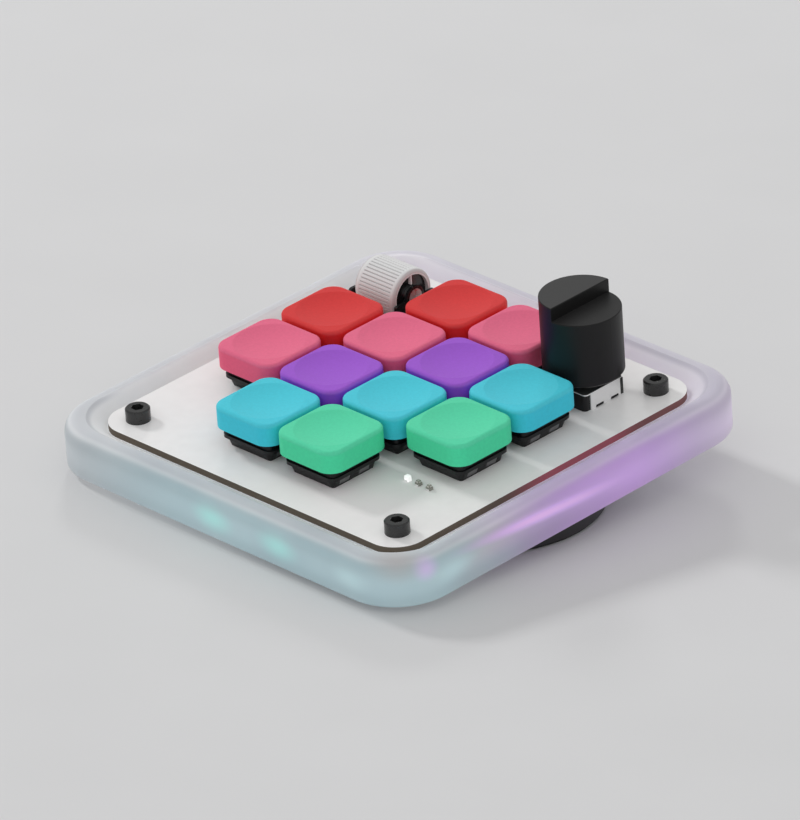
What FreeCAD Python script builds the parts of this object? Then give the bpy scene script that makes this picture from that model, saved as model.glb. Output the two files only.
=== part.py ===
# A square desk keypad: twelve coloured keys, a push knob and a ribbed roller on a bare board,
# set in a frosted tray that a wedge foot tips towards the user.
# Lengths are in millimetres and angles in degrees.
# Every sub-part is drawn in the tray's own frame: X to the user's right, Y away from the user,
# Z square to the board, with Z = 0 on the table point under the middle of the tray.
# seat() then tips it about the X axis, so that the foot's sole lies flat on Z = 0.
import FreeCAD, Part
import os
import re
import Sketcher
from FreeCAD import Placement, Rotation, Vector
from math import pi

RIB_COUNT = 44
ROWS = 4
COLUMNS = 4
DIMENSIONS = [
    ("key_pitch", 19.05, "distance between neighbouring keys"),
    ("tilt_angle", 5.0, "slope of the board, rear edge up"),
    ("overrun", 2.0, "how far a cutting shape passes the face that it cuts"),
    ("thread_gap", 0.05, "radial gap where a thread, pin or insert sits in its hole"),
    ("slide_gap", 0.1, "gap on each side of a piece that slides"),
    ("running_gap", 0.05, "radial gap of a turning shaft"),
    # Board
    ("board_margin", 7.9, "board's edge beyond the outermost cells"),
    ("board_corner", 7.0, "corner radius of the board"),
    ("board_thickness", 1.6, "circuit board"),
    ("board_gap", 0.3, "gap round the board in its recess"),
    ("screw_inset", 6.7, "corner screw, from the board's edge"),
    ("screw_hole_gap", 0.15, "radial gap round the screw in the board"),
    # Tray
    ("rim_reach", 8.6, "tray's side beyond the board's edge"),
    ("case_corner", 13.5, "corner radius of the tray"),
    ("rim_height", 1.44, "rim crest above the board"),
    ("rim_round", 3.1, "outer round of the rim"),
    ("rim_slope_run", 4.4, "width of the slope from the board's recess up to the crest"),
    ("base_round", 0.8, "round of the tray's lower edge"),
    ("ledge_width", 2.1, "ledge that the board's edge rests on"),
    ("cavity_depth", 5.7, "under the board, down to the bottom plate"),
    ("plate_thickness", 2.0, "bottom plate"),
    ("plate_margin", 4.2, "tray's wall left outside the bottom plate"),
    ("plate_gap", 0.1, "gap round the bottom plate"),
    ("plate_screw_inset", 3.2, "bottom plate screw, from the plate's edge"),
    ("plate_screw_radius", 1.25, "bottom plate screw, shank radius"),
    ("plate_screw_head", 2.3, "bottom plate screw, head radius"),
    ("plate_screw_length", 6.0, "bottom plate screw, over all"),
    ("plate_screw_cone", 1.1, "height of the screw's countersunk head"),
    ("plate_screw_spread", 24.0, "bottom plate screws, from each side's middle"),
    ("drive_share", 0.6, "screw's drive recess as a share of its shank"),
    ("boss_half", 4.4, "half width of a corner boss"),
    # Corner screws and their inserts
    ("screw_radius", 1.5, "corner screw, shank"),
    ("screw_length", 5.2, "corner screw, under the head"),
    ("screw_head_radius", 2.75, "socket head"),
    ("screw_head_height", 3.0, "socket head"),
    ("screw_head_edge", 0.3, "chamfer of the head's top"),
    ("hex_radius", 1.44, "hexagon socket, corner to middle"),
    ("hex_depth", 1.6, "hexagon socket"),
    ("insert_radius", 2.3, "threaded insert"),
    ("insert_length", 4.0, "threaded insert"),
    # Foot
    ("foot_width", 57.0, "wedge foot, along Y"),
    ("foot_rise", 5.96, "from the table up to the tray at its middle"),
    ("sole_inset", 0.8, "sole's edge, in from the wedge's edge"),
    ("sole_thickness", 1.6, "rubber sole"),
    ("sole_stand", 0.8, "how far the sole stands out of the wedge"),
    ("sole_gap", 0.1, "gap round the sole in its recess"),
    ("foot_screw_reach", 32.0, "foot screws, from the middle along X"),
    ("foot_screw_spread", 10.0, "foot screws, from the middle along Y"),
    ("foot_screw_radius", 1.5, "foot screw, shank"),
    ("foot_screw_length", 5.0, "foot screw, under the head"),
    ("foot_screw_head", 2.75, "foot screw, head radius"),
    ("foot_screw_head_height", 1.65, "foot screw, head"),
    # Socket and its small board
    ("port_width", 8.94, "socket shell, across"),
    ("port_height", 3.2, "socket shell"),
    ("port_length", 7.3, "socket shell, front to back"),
    ("port_wall", 0.3, "socket shell's sheet"),
    ("port_tongue", 0.7, "contact tongue, thick"),
    ("port_tongue_margin", 0.85, "tongue's side, in from the shell's bore"),
    ("port_back", 1.5, "closed back of the socket"),
    ("port_setback", 1.7, "tray wall in front of the socket"),
    ("port_side_flat", 0.064, "straight stretch of the socket's short sides"),
    ("port_gap", 0.2, "gap between the socket and its hole in the tray"),
    ("port_board_width", 18.0, "small board, along X"),
    ("port_board_thickness", 1.0, "small board"),
    ("header_width", 10.0, "connector between the boards, along X"),
    ("header_depth", 2.5, "connector between the boards, along Y"),
    ("header_reach", 8.55, "connector's middle, in from the board's rear edge"),
    ("header_inset", 1.5, "connector, in from the small board's inner edge"),
    # Small parts on the board
    ("chip_gap", 9.05, "how much smaller the controller chip is than a key's cell"),
    ("chip_height", 1.0, "controller chip"),
    ("glow_led_width", 3.5, "lamp under the board"),
    ("glow_led_height", 1.4, "lamp under the board"),
    ("glow_led_inset", 4.6, "row of lamps, in from the board's edge"),
    ("status_led_width", 1.3, "small lamp by the keys"),
    ("status_led_height", 0.65, "small lamp by the keys"),
    ("status_led_pitch", 3.2, "between the small lamps"),
    ("status_led_ahead", 6.375, "row of small lamps, behind the middle of its cell"),
    # Key switches
    ("key_travel", 3.0, "full stroke of a key"),
    ("press_gap", 0.2, "left under the keycap's roof when a key is fully down"),
    ("base_taper", 0.8, "how far the base's side leans out up to the flange"),
    ("base_corner", 0.7, "corner radius of the switch base"),
    ("flange_cap_gap", 0.4, "gap between the flange and a pressed keycap's wall"),
    ("flange_reach", 0.6, "flange beyond the base's neck"),
    ("flange_corner", 1.8, "corner radius of the flange"),
    ("flange_low", 2.2, "flange's lower face above the board"),
    ("flange_thickness", 0.8, "flange"),
    ("base_wall", 0.4, "base's wall at the board"),
    ("well_floor", 0.4, "well's floor above the board"),
    ("stub_radius", 2.5, "round stub through the board"),
    ("stub_length", 2.6, "round stub through the board"),
    ("stub_gap", 0.1, "radial gap round the stub"),
    ("spring_post_radius", 1.1, "post inside the spring"),
    ("spring_post_height", 0.9, "post inside the spring"),
    ("notch_depth", 1.0, "window notch in the base's right side"),
    ("notch_low", 0.2, "notch's lower edge above the board"),
    ("notch_rib", 2.6, "between the two notches"),
    ("notch_end", 1.6, "from a notch to the base's corner"),
    ("cover_lean", 0.4, "how far the cover's side leans in"),
    ("cover_roof", 0.6, "cover's roof"),
    ("pin_width", 0.9, "contact pin"),
    ("pin_thickness", 0.3, "contact pin"),
    ("pin_length", 3.0, "contact pin below the base"),
    ("pin_hole_radius", 0.65, "hole for a contact pin"),
    ("pin_far_inset", 0.7, "far pin, in from the base's left side"),
    ("pin_near_inset", 2.3, "near pin, in from the base's left side"),
    ("pin_near_side_inset", 1.1, "near pin, in from the base's rear side"),
    ("stem_margin", 0.6, "stem's block, in from the well's side, along Y"),
    ("stem_depth", 4.5, "stem's block, along X"),
    ("stem_foot_margin", 0.3, "stem's foot, in from the well's side, along Y"),
    ("stem_foot_margin_x", 1.7, "stem's foot, in from the well's side, along X"),
    ("stem_foot_height", 0.75, "stem's foot"),
    ("spring_radius", 1.6, "return spring, outside"),
    ("spring_wire", 0.3, "return spring's wire"),
    ("spring_pocket", 1.5, "pocket in the stem over the spring"),
    # Keycaps
    ("cap_gap", 1.25, "between neighbouring keycaps"),
    ("cap_corner", 3.7, "corner radius of the keycap"),
    ("cap_height", 5.1, "keycap, skirt to top"),
    ("cap_wall", 1.0, "keycap's wall"),
    ("cap_edge", 0.8, "soft upper edge of the keycap"),
    ("cap_roof", 1.9, "keycap's roof at the rim"),
    ("dish_depth", 0.5, "hollow of the keycap's top"),
    ("dish_margin", 1.1, "hollow of the keycap's top, in from the side"),
    ("prong_width", 3.0, "keycap's prong, along X"),
    ("prong_thickness", 1.2, "keycap's prong, along Y"),
    ("prong_depth", 2.6, "keycap's prong"),
    ("prong_inset", 2.25, "prong's middle, in from the stem's end"),
    # Knob and its encoder
    ("knob_gap", 1.25, "between the knob and a neighbouring cell's keycap"),
    ("knob_low", 6.1, "knob's lower edge above the board"),
    ("knob_step_level", 21.35, "low half of the knob's top above the board"),
    ("knob_step", 3.1, "raised half of the knob's top"),
    ("knob_edge", 0.25, "soft edges of the knob"),
    ("knob_base_edge", 0.5, "chamfer of the knob's lower edge"),
    ("knob_wall", 1.5, "wall of the knob's skirt"),
    ("knob_skirt_depth", 2.0, "hollow inside the knob's skirt"),
    ("knob_well_radius", 4.4, "hollow over the bushing"),
    ("grip_clear", 0.5, "left over the bushing when the knob is pressed"),
    ("knob_press", 0.5, "stroke of the knob's push switch"),
    ("shaft_radius", 3.0, "encoder shaft"),
    ("shaft_grip", 9.0, "length of shaft held in the knob"),
    ("shaft_flat", 1.5, "flat of the shaft, from its axis"),
    ("body_half_y", 5.85, "encoder body, half along Y"),
    ("body_half_x", 5.55, "encoder body, half along X"),
    ("body_corner", 0.9, "corner radius of the encoder body"),
    ("body_height", 3.8, "encoder body"),
    ("body_floor", 0.8, "closed floor of the encoder body"),
    ("cover_sheet", 0.3, "metal cover's sheet"),
    ("leg_front_margin", 1.65, "metal leg, in from the body's front"),
    ("leg_rear_margin", 0.25, "metal leg, in from the body's rear"),
    ("leg_notch_width", 2.4, "notch in the leg's foot"),
    ("leg_notch_height", 0.45, "notch in the leg's foot"),
    ("leg_notch_spread", 2.3, "notches, either side of the leg's middle"),
    ("bushing_radius", 3.5, "bushing round the shaft"),
    ("bushing_height", 4.9, "bushing above the cover"),
    ("bushing_collar_radius", 4.4, "collar at the bushing's foot"),
    ("bushing_collar_height", 0.5, "collar at the bushing's foot"),
    ("plunger_radius", 2.6, "plunger under the shaft"),
    ("plunger_height", 0.8, "plunger under the shaft"),
    # Roller and its frame
    ("roller_axis_level", 7.1, "roller's axis above the board"),
    ("roller_radius", 6.1, "roller over its ribs"),
    ("roller_bore", 4.9, "inside of the roller's tyre"),
    ("roller_near_end", 5.45, "roller's open end, from its cell's middle"),
    ("roller_far_end", 7.4, "roller's closed end, from its cell's middle"),
    ("roller_near_round", 0.9, "round at the open end"),
    ("roller_far_round", 2.2, "round at the closed end"),
    ("roller_far_wall", 0.9, "wall at the closed end"),
    ("rib_depth", 0.28, "grooves between the ribs"),
    ("rib_near_margin", 1.1, "smooth band at the open end"),
    ("rib_far_margin", 2.4, "smooth band at the closed end"),
    ("core_recess", 0.9, "core's face, in from the open end"),
    ("web_sink", 0.1, "web's outer end, sunk into the tyre"),
    ("rib_gap_share", 0.8, "groove's width as a share of the ribs' spacing"),
    ("web_thickness", 0.35, "white web across the core's face"),
    ("axle_radius", 1.9, "roller's axle"),
    ("arm_thickness", 0.7, "frame's end arms"),
    ("arm_gap", 0.25, "gap between an arm and the roller's end"),
    ("arm_half", 6.0, "half width of an arm"),
    ("arm_drop", 0.2, "arm's top edge below the axis"),
    ("arm_lobe_radius", 2.6, "round lobe of an arm at the axle"),
    ("arm_corner", 0.6, "round of an arm's upper corners"),
    ("frame_floor", 0.6, "floor of the roller's frame"),
]
# Sizes worked out from the ones above, each after those that it needs
DERIVED = [
    ("board_width", "%d * key_pitch + 2 * board_margin" % COLUMNS, "square circuit board, across"),
    ("case_width", "board_width + 2 * rim_reach", "square tray, across"),
    ("foot_length", "case_width - 2 * plate_margin", "wedge foot, as long as the bottom plate"),
    ("mouth_reach", "case_width / 2 - port_setback - port_gap", "socket's mouth, from the middle"),
    ("header_place", "board_width / 2 - header_reach", "connector between the boards, from the middle"),
    ("port_board_front", "header_place - header_depth / 2 - header_inset", "small board's inner edge"),
    ("port_board_depth", "mouth_reach - port_board_front", "small board, along Y"),
    ("chip_width", "key_pitch - chip_gap", "controller chip"),
    ("cap_width", "key_pitch - cap_gap", "keycap, across"),
    ("dish_width", "cap_width - 2 * dish_margin", "hollow of the keycap's top, across"),
    ("flange_half", "cap_width / 2 - cap_wall - flange_cap_gap", "flange, half width"),
    ("base_neck_half", "flange_half - flange_reach", "switch base under its flange, half width"),
    ("base_foot_half", "base_neck_half - base_taper", "switch base at the board, half width"),
    ("well_half", "base_foot_half - base_wall", "well in the base, half width"),
    ("notch_width", "base_foot_half - notch_rib / 2 - notch_end", "window notch, along Y"),
    ("notch_spread", "(notch_rib + notch_width) / 2", "notch's middle, from the switch's middle"),
    ("pin_far", "base_foot_half - pin_far_inset", "far pin, towards the left side"),
    ("pin_near", "base_foot_half - pin_near_inset", "near pin, towards the left side"),
    ("pin_near_side", "base_foot_half - pin_near_side_inset", "near pin, along Y"),
    ("stem_length", "2 * (well_half - stem_margin)", "stem's block, along Y"),
    ("stem_foot_length", "2 * (well_half - stem_foot_margin)", "stem's foot, along Y"),
    ("stem_foot_depth", "2 * (well_half - stem_foot_margin_x)", "stem's foot, along X"),
    ("prong_spacing", "stem_length - 2 * prong_inset", "between the two prongs"),
    ("knob_radius", "(key_pitch - knob_gap) / 2", "knob"),
    ("knob_skirt_radius", "knob_radius - knob_wall", "hollow inside the knob's skirt"),
    ("cover_leg_width", "2 * body_half_y - leg_front_margin - leg_rear_margin", "metal leg, along Y"),
    ("cover_leg_shift", "(leg_front_margin - leg_rear_margin) / 2", "metal leg, back from the middle"),
]
# Rows count from the rear and columns from the left.
ROLLER_CELL = (0, 0)
KNOB_CELL = (0, 3)
EMPTY_CELLS = [(3, 0), (3, 3)]
GLOW_LED_STEPS = [-1, 0, 1]
STATUS_LED_COUNT = 3
FULL_TURN = 360
# Points nearer than this count as one place.
CLOSE = 1e-6

doc = FreeCAD.newDocument("keypad")
sheet = doc.addObject("Spreadsheet::Sheet", "Sizes")
PARTS = []


def fill_sheet():
    """One row for each size: its name, its value and what it is."""
    sums = [(name, "=" + text, meaning) for name, text, meaning in DERIVED]
    for row, (name, value, meaning) in enumerate(DIMENSIONS + sums, start=1):
        sheet.set("A%d" % row, name)
        sheet.set("B%d" % row, str(value))
        sheet.setAlias("B%d" % row, name)
        sheet.set("C%d" % row, meaning)
    doc.recompute()


def sized(text):
    """The same sum with each size's name pointing at its cell."""
    names = {name for name, value, meaning in DIMENSIONS + DERIVED}

    def point_at_cell(match):
        word = match.group(0)
        return "Sizes." + word if word in names else word

    return re.sub(r"[a-z][a-z_]*", point_at_cell, text)


def bind(target, prop, text):
    target.setExpression(prop, sized(text))


# Levels above the table point, along the board's normal
PLATE_LOW = "foot_rise"
PLATE_TOP = "(foot_rise + plate_thickness)"
BOARD_LOW = "(foot_rise + plate_thickness + cavity_depth)"
BOARD_TOP = "(foot_rise + plate_thickness + cavity_depth + board_thickness)"
CREST = "(foot_rise + plate_thickness + cavity_depth + board_thickness + rim_height)"
RECESS_HALF = "(board_width / 2 + board_gap)"
RECESS_CORNER = "(board_corner + board_gap)"
SCREW_PLACE = "(board_width / 2 - screw_inset)"
SCREW_HOLE = "screw_radius + screw_hole_gap"
PLATE_SCREW_HOLE = "plate_screw_radius + thread_gap"
FOOT_SCREW_HOLE = "foot_screw_radius + thread_gap"
PORT_BOARD_MIDDLE = "(port_board_front + port_board_depth / 2)"


def seat(part, label, x="0", y="0", z="0"):
    """Name a finished sub-part and stand it at its place in the tipped tray."""
    part.Label = label
    # This sets the axis of the turn, and the line after it the angle.
    part.Placement = Placement(Vector(0, 0, 0), Rotation(Vector(1, 0, 0), 1))
    bind(part, ".Placement.Rotation.Angle", "tilt_angle")
    bind(part, ".Placement.Base.x", x)
    bind(part, ".Placement.Base.y", "(%s) * cos(tilt_angle) - (%s) * sin(tilt_angle)" % (y, z))
    bind(part, ".Placement.Base.z", "(%s) * sin(tilt_angle) + (%s) * cos(tilt_angle)" % (y, z))
    PARTS.append(part)
    return part


def plane_of(body, role):
    return [feature for feature in body.Origin.OriginFeatures if feature.Role == role][0]


def sketch_on(body, name, role="XY_Plane", level="0"):
    """An empty sketch on one of the body's own planes, moved along the plane's normal by level."""
    sketch = body.newObject("Sketcher::SketchObject", name)
    sketch.AttachmentSupport = [(plane_of(body, role), "")]
    sketch.MapMode = "FlatFace"
    bind(sketch, ".AttachmentOffset.Base.z", level)
    return sketch


def level_sketch(body, name, height):
    """An empty sketch parallel to the table, at a height above it, in a body that is tipped."""
    sketch = sketch_on(body, name)
    sketch.AttachmentOffset = Placement(Vector(0, 0, 0), Rotation(Vector(-1, 0, 0), 1))
    bind(sketch, ".AttachmentOffset.Rotation.Angle", "tilt_angle")
    bind(sketch, ".AttachmentOffset.Base.y", "(%s) * sin(tilt_angle)" % height)
    bind(sketch, ".AttachmentOffset.Base.z", "(%s) * cos(tilt_angle)" % height)
    return sketch


def datum(sketch, constraint, text):
    """A size constraint bound to a sum of named sizes."""
    index = sketch.addConstraint(constraint)
    bind(sketch, "Constraints[%d]" % index, text)


def value_of(text):
    """The present value of a sum of named sizes, to start a sketch close to its form."""
    return float(sheet.evalExpression(sized(text)))


def pin_point(sketch, line, end, x, y):
    """Hold a point of the sketch at (x, y) from the origin."""
    if x == "0":
        sketch.addConstraint(Sketcher.Constraint("PointOnObject", line, end, -2))
    else:
        datum(sketch, Sketcher.Constraint("DistanceX", -1, 1, line, end, value_of(x)), x)
    if y == "0":
        sketch.addConstraint(Sketcher.Constraint("PointOnObject", line, end, -1))
    else:
        datum(sketch, Sketcher.Constraint("DistanceY", -1, 1, line, end, value_of(y)), y)


def polygon(sketch, points):
    """A closed outline of straight lines through points given as pairs of sums."""
    first = sketch.GeometryCount
    places = [Vector(value_of(x), value_of(y), 0) for x, y in points]
    for number, start in enumerate(places):
        sketch.addGeometry(Part.LineSegment(start, places[(number + 1) % len(places)]))
    for number in range(len(places)):
        following = first + (number + 1) % len(places)
        sketch.addConstraint(Sketcher.Constraint("Coincident", first + number, 2, following, 1))
    for number, (x, y) in enumerate(points):
        pin_point(sketch, first + number, 1, x, y)


def rectangle(sketch, width, depth, x="0", y="0"):
    left = "(%s) - (%s) / 2" % (x, width)
    right = "(%s) + (%s) / 2" % (x, width)
    front = "(%s) - (%s) / 2" % (y, depth)
    rear = "(%s) + (%s) / 2" % (y, depth)
    polygon(sketch, [(left, front), (right, front), (right, rear), (left, rear)])


def circle(sketch, radius, x="0", y="0"):
    place = Vector(value_of(x), value_of(y), 0)
    ring = sketch.addGeometry(Part.Circle(place, Vector(0, 0, 1), value_of(radius)))
    datum(sketch, Sketcher.Constraint("Radius", ring, value_of(radius)), radius)
    pin_point(sketch, ring, 3, x, y)


def rounded_rectangle(sketch, width, depth, radius, x="0", y="0"):
    """Four lines joined by four tangent arcs, centred on (x, y)."""
    w = value_of(width) / 2
    d = value_of(depth) / 2
    r = value_of(radius)
    cx = value_of(x)
    cy = value_of(y)
    first = sketch.GeometryCount
    sides = [(-w + r, -d, w - r, -d), (w, -d + r, w, d - r), (w - r, d, -w + r, d), (-w, d - r, -w, -d + r)]
    for x1, y1, x2, y2 in sides:
        sketch.addGeometry(Part.LineSegment(Vector(cx + x1, cy + y1, 0), Vector(cx + x2, cy + y2, 0)))
    middles = [(w - r, -d + r), (w - r, d - r), (-w + r, d - r), (-w + r, -d + r)]
    for quarter, (ax, ay) in enumerate(middles):
        ring = Part.Circle(Vector(cx + ax, cy + ay, 0), Vector(0, 0, 1), r)
        start = (quarter - 1) * pi / 2
        sketch.addGeometry(Part.ArcOfCircle(ring, start, start + pi / 2))
    for side in range(4):
        line = first + side
        arc = first + 4 + side
        following = first + (side + 1) % 4
        sketch.addConstraint(Sketcher.Constraint("Tangent", line, 2, arc, 1))
        sketch.addConstraint(Sketcher.Constraint("Tangent", arc, 2, following, 1))
    for side in (0, 2):
        sketch.addConstraint(Sketcher.Constraint("Horizontal", first + side))
        sketch.addConstraint(Sketcher.Constraint("Vertical", first + side + 1))
    for quarter in range(3):
        sketch.addConstraint(Sketcher.Constraint("Equal", first + 4 + quarter, first + 5 + quarter))
    datum(sketch, Sketcher.Constraint("DistanceX", first + 3, 1, first + 1, 1, 2 * w), width)
    datum(sketch, Sketcher.Constraint("DistanceY", first, 1, first + 2, 1, 2 * d), depth)
    datum(sketch, Sketcher.Constraint("Radius", first + 4, r), radius)
    right = "(%s) + (%s) / 2" % (x, width)
    rear = "(%s) + (%s) / 2" % (y, depth)
    datum(sketch, Sketcher.Constraint("DistanceX", -1, 1, first + 1, 1, cx + w), right)
    datum(sketch, Sketcher.Constraint("DistanceY", -1, 1, first + 2, 1, cy + d), rear)


def stadium(sketch, length, width):
    """Two half circles joined by straight lines along X, centred on the origin."""
    reach = (value_of(length) - value_of(width)) / 2
    half = value_of(width) / 2
    sketch.addGeometry(Part.LineSegment(Vector(-reach, -half, 0), Vector(reach, -half, 0)))
    right = Part.Circle(Vector(reach, 0, 0), Vector(0, 0, 1), half)
    sketch.addGeometry(Part.ArcOfCircle(right, -pi / 2, pi / 2))
    sketch.addGeometry(Part.LineSegment(Vector(reach, half, 0), Vector(-reach, half, 0)))
    left = Part.Circle(Vector(-reach, 0, 0), Vector(0, 0, 1), half)
    sketch.addGeometry(Part.ArcOfCircle(left, pi / 2, 3 * pi / 2))
    for side in range(4):
        sketch.addConstraint(Sketcher.Constraint("Tangent", side, 2, (side + 1) % 4, 1))
    sketch.addConstraint(Sketcher.Constraint("Horizontal", 0))
    sketch.addConstraint(Sketcher.Constraint("Equal", 1, 3))
    sketch.addConstraint(Sketcher.Constraint("Symmetric", 1, 3, 3, 3, -1, 1))
    datum(sketch, Sketcher.Constraint("Radius", 1, half), "(%s) / 2" % width)
    datum(sketch, Sketcher.Constraint("DistanceX", 3, 3, 1, 3, 2 * reach), "(%s) - (%s)" % (length, width))


def new_body(name):
    return doc.addObject("PartDesign::Body", name)


def extrude(body, kind, sketch, length, flip=False):
    feature = body.newObject("PartDesign::" + kind, kind.lower())
    feature.Profile = sketch
    feature.Reversed = flip
    bind(feature, "Length", length)
    return feature


def pad(body, sketch, length, flip=False):
    """Add the sketch's outline, along its normal or the other way."""
    return extrude(body, "Pad", sketch, length, flip)


def pocket(body, sketch, length, flip=False):
    """Cut the sketch's outline, against its normal or along it."""
    return extrude(body, "Pocket", sketch, length, flip)


def round_edges(body, kind, size, prop, chosen):
    """Round or chamfer the edges of the body's last feature that chosen() picks."""
    doc.recompute()
    base = body.Tip
    names = ["Edge%d" % number for number, edge in enumerate(base.Shape.Edges, start=1) if chosen(edge)]
    feature = body.newObject("PartDesign::" + kind, kind.lower())
    feature.Base = (base, names)
    bind(feature, prop, size)
    return feature


def edges_at(axis, text):
    """A test for edges that lie in one plane across an axis, at a place given as a sum."""
    place = value_of(text)
    return lambda edge: all(abs(getattr(vertex.Point, axis) - place) < CLOSE for vertex in edge.Vertexes)


def block(name, length, width, height, x="0", y="0", z="0"):
    """A box standing on (x, y, z), centred there along X and Y."""
    box = doc.addObject("Part::Box", name)
    bind(box, "Length", length)
    bind(box, "Width", width)
    bind(box, "Height", height)
    bind(box, ".Placement.Base.x", "(%s) - (%s) / 2" % (x, length))
    bind(box, ".Placement.Base.y", "(%s) - (%s) / 2" % (y, width))
    bind(box, ".Placement.Base.z", z)
    return box


def rod(name, radius, height, x="0", y="0", z="0"):
    """An upright cylinder standing on (x, y, z)."""
    cylinder = doc.addObject("Part::Cylinder", name)
    bind(cylinder, "Radius", radius)
    bind(cylinder, "Height", height)
    bind(cylinder, ".Placement.Base.x", x)
    bind(cylinder, ".Placement.Base.y", y)
    bind(cylinder, ".Placement.Base.z", z)
    return cylinder


def bore_through(name, radius, x, y, top, depth):
    """A cutting rod that passes both ends of a hole of the given depth under top."""
    return rod(name, radius, "%s + 2 * overrun" % depth, x, y, "%s - %s - overrun" % (top, depth))


def cone(name, low_radius, high_radius, height, x="0", y="0", z="0"):
    solid = doc.addObject("Part::Cone", name)
    bind(solid, "Radius1", low_radius)
    bind(solid, "Radius2", high_radius)
    bind(solid, "Height", height)
    bind(solid, ".Placement.Base.x", x)
    bind(solid, ".Placement.Base.y", y)
    bind(solid, ".Placement.Base.z", z)
    return solid


def fuse(name, pieces):
    joined = doc.addObject("Part::MultiFuse", name)
    joined.Shapes = pieces
    return joined


def cut(name, base, tools):
    result = doc.addObject("Part::Cut", name)
    result.Base = base
    result.Tool = tools[0] if len(tools) == 1 else fuse(name + "_tools", tools)
    return result


def group(name, pieces):
    """Several like pieces kept as separate solids of one sub-part."""
    together = doc.addObject("Part::Compound", name)
    together.Links = pieces
    return together


def cell_x(column):
    return "%s * key_pitch" % (column - (COLUMNS - 1) / 2)


def cell_y(row):
    return "%s * key_pitch" % ((ROWS - 1) / 2 - row)


def key_cells():
    taken = [ROLLER_CELL, KNOB_CELL] + EMPTY_CELLS
    return [(row, column) for row in range(ROWS) for column in range(COLUMNS) if (row, column) not in taken]


def corners():
    return [(sx, sy) for sx in ("-1", "1") for sy in ("-1", "1")]


def case_screw_place(sx, sy):
    """A corner screw's place, for the signs of its corner."""
    return "%s * %s" % (sx, SCREW_PLACE), "%s * %s" % (sy, SCREW_PLACE)


def foot_screw_place(sx, sy):
    return "%s * foot_screw_reach" % sx, "%s * foot_screw_spread" % sy


def plate_screw_places():
    """Eight places round the bottom plate, two near each side's middle."""
    side = "(case_width / 2 - plate_margin - plate_gap - plate_screw_inset)"
    places = []
    for sx, sy in corners():
        places.append(("%s * %s" % (sx, side), "%s * plate_screw_spread" % sy))
        places.append(("%s * plate_screw_spread" % sx, "%s * %s" % (sy, side)))
    return places


# Levels above the board inside a switch
FLANGE_TOP = "(flange_low + flange_thickness)"
STEM_FOOT_LOW = "(well_floor + slide_gap + key_travel)"
COVER_ROOF_LOW = "(well_floor + slide_gap + key_travel + stem_foot_height + slide_gap / 2)"
COVER_TOP = "(%s + cover_roof)" % COVER_ROOF_LOW
STEM_TOP = "(%s + key_travel + press_gap)" % COVER_TOP
CAP_LOW = "(%s - cap_height + cap_roof)" % STEM_TOP
METAL_TOP = "(body_height + cover_sheet)"
BUSHING_TOP = "(body_height + cover_sheet + bushing_height)"
SHAFT_LOW = "(body_floor + knob_press + slide_gap + plunger_height)"
GRIP_LOW = "(%s + knob_press + grip_clear)" % BUSHING_TOP


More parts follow.
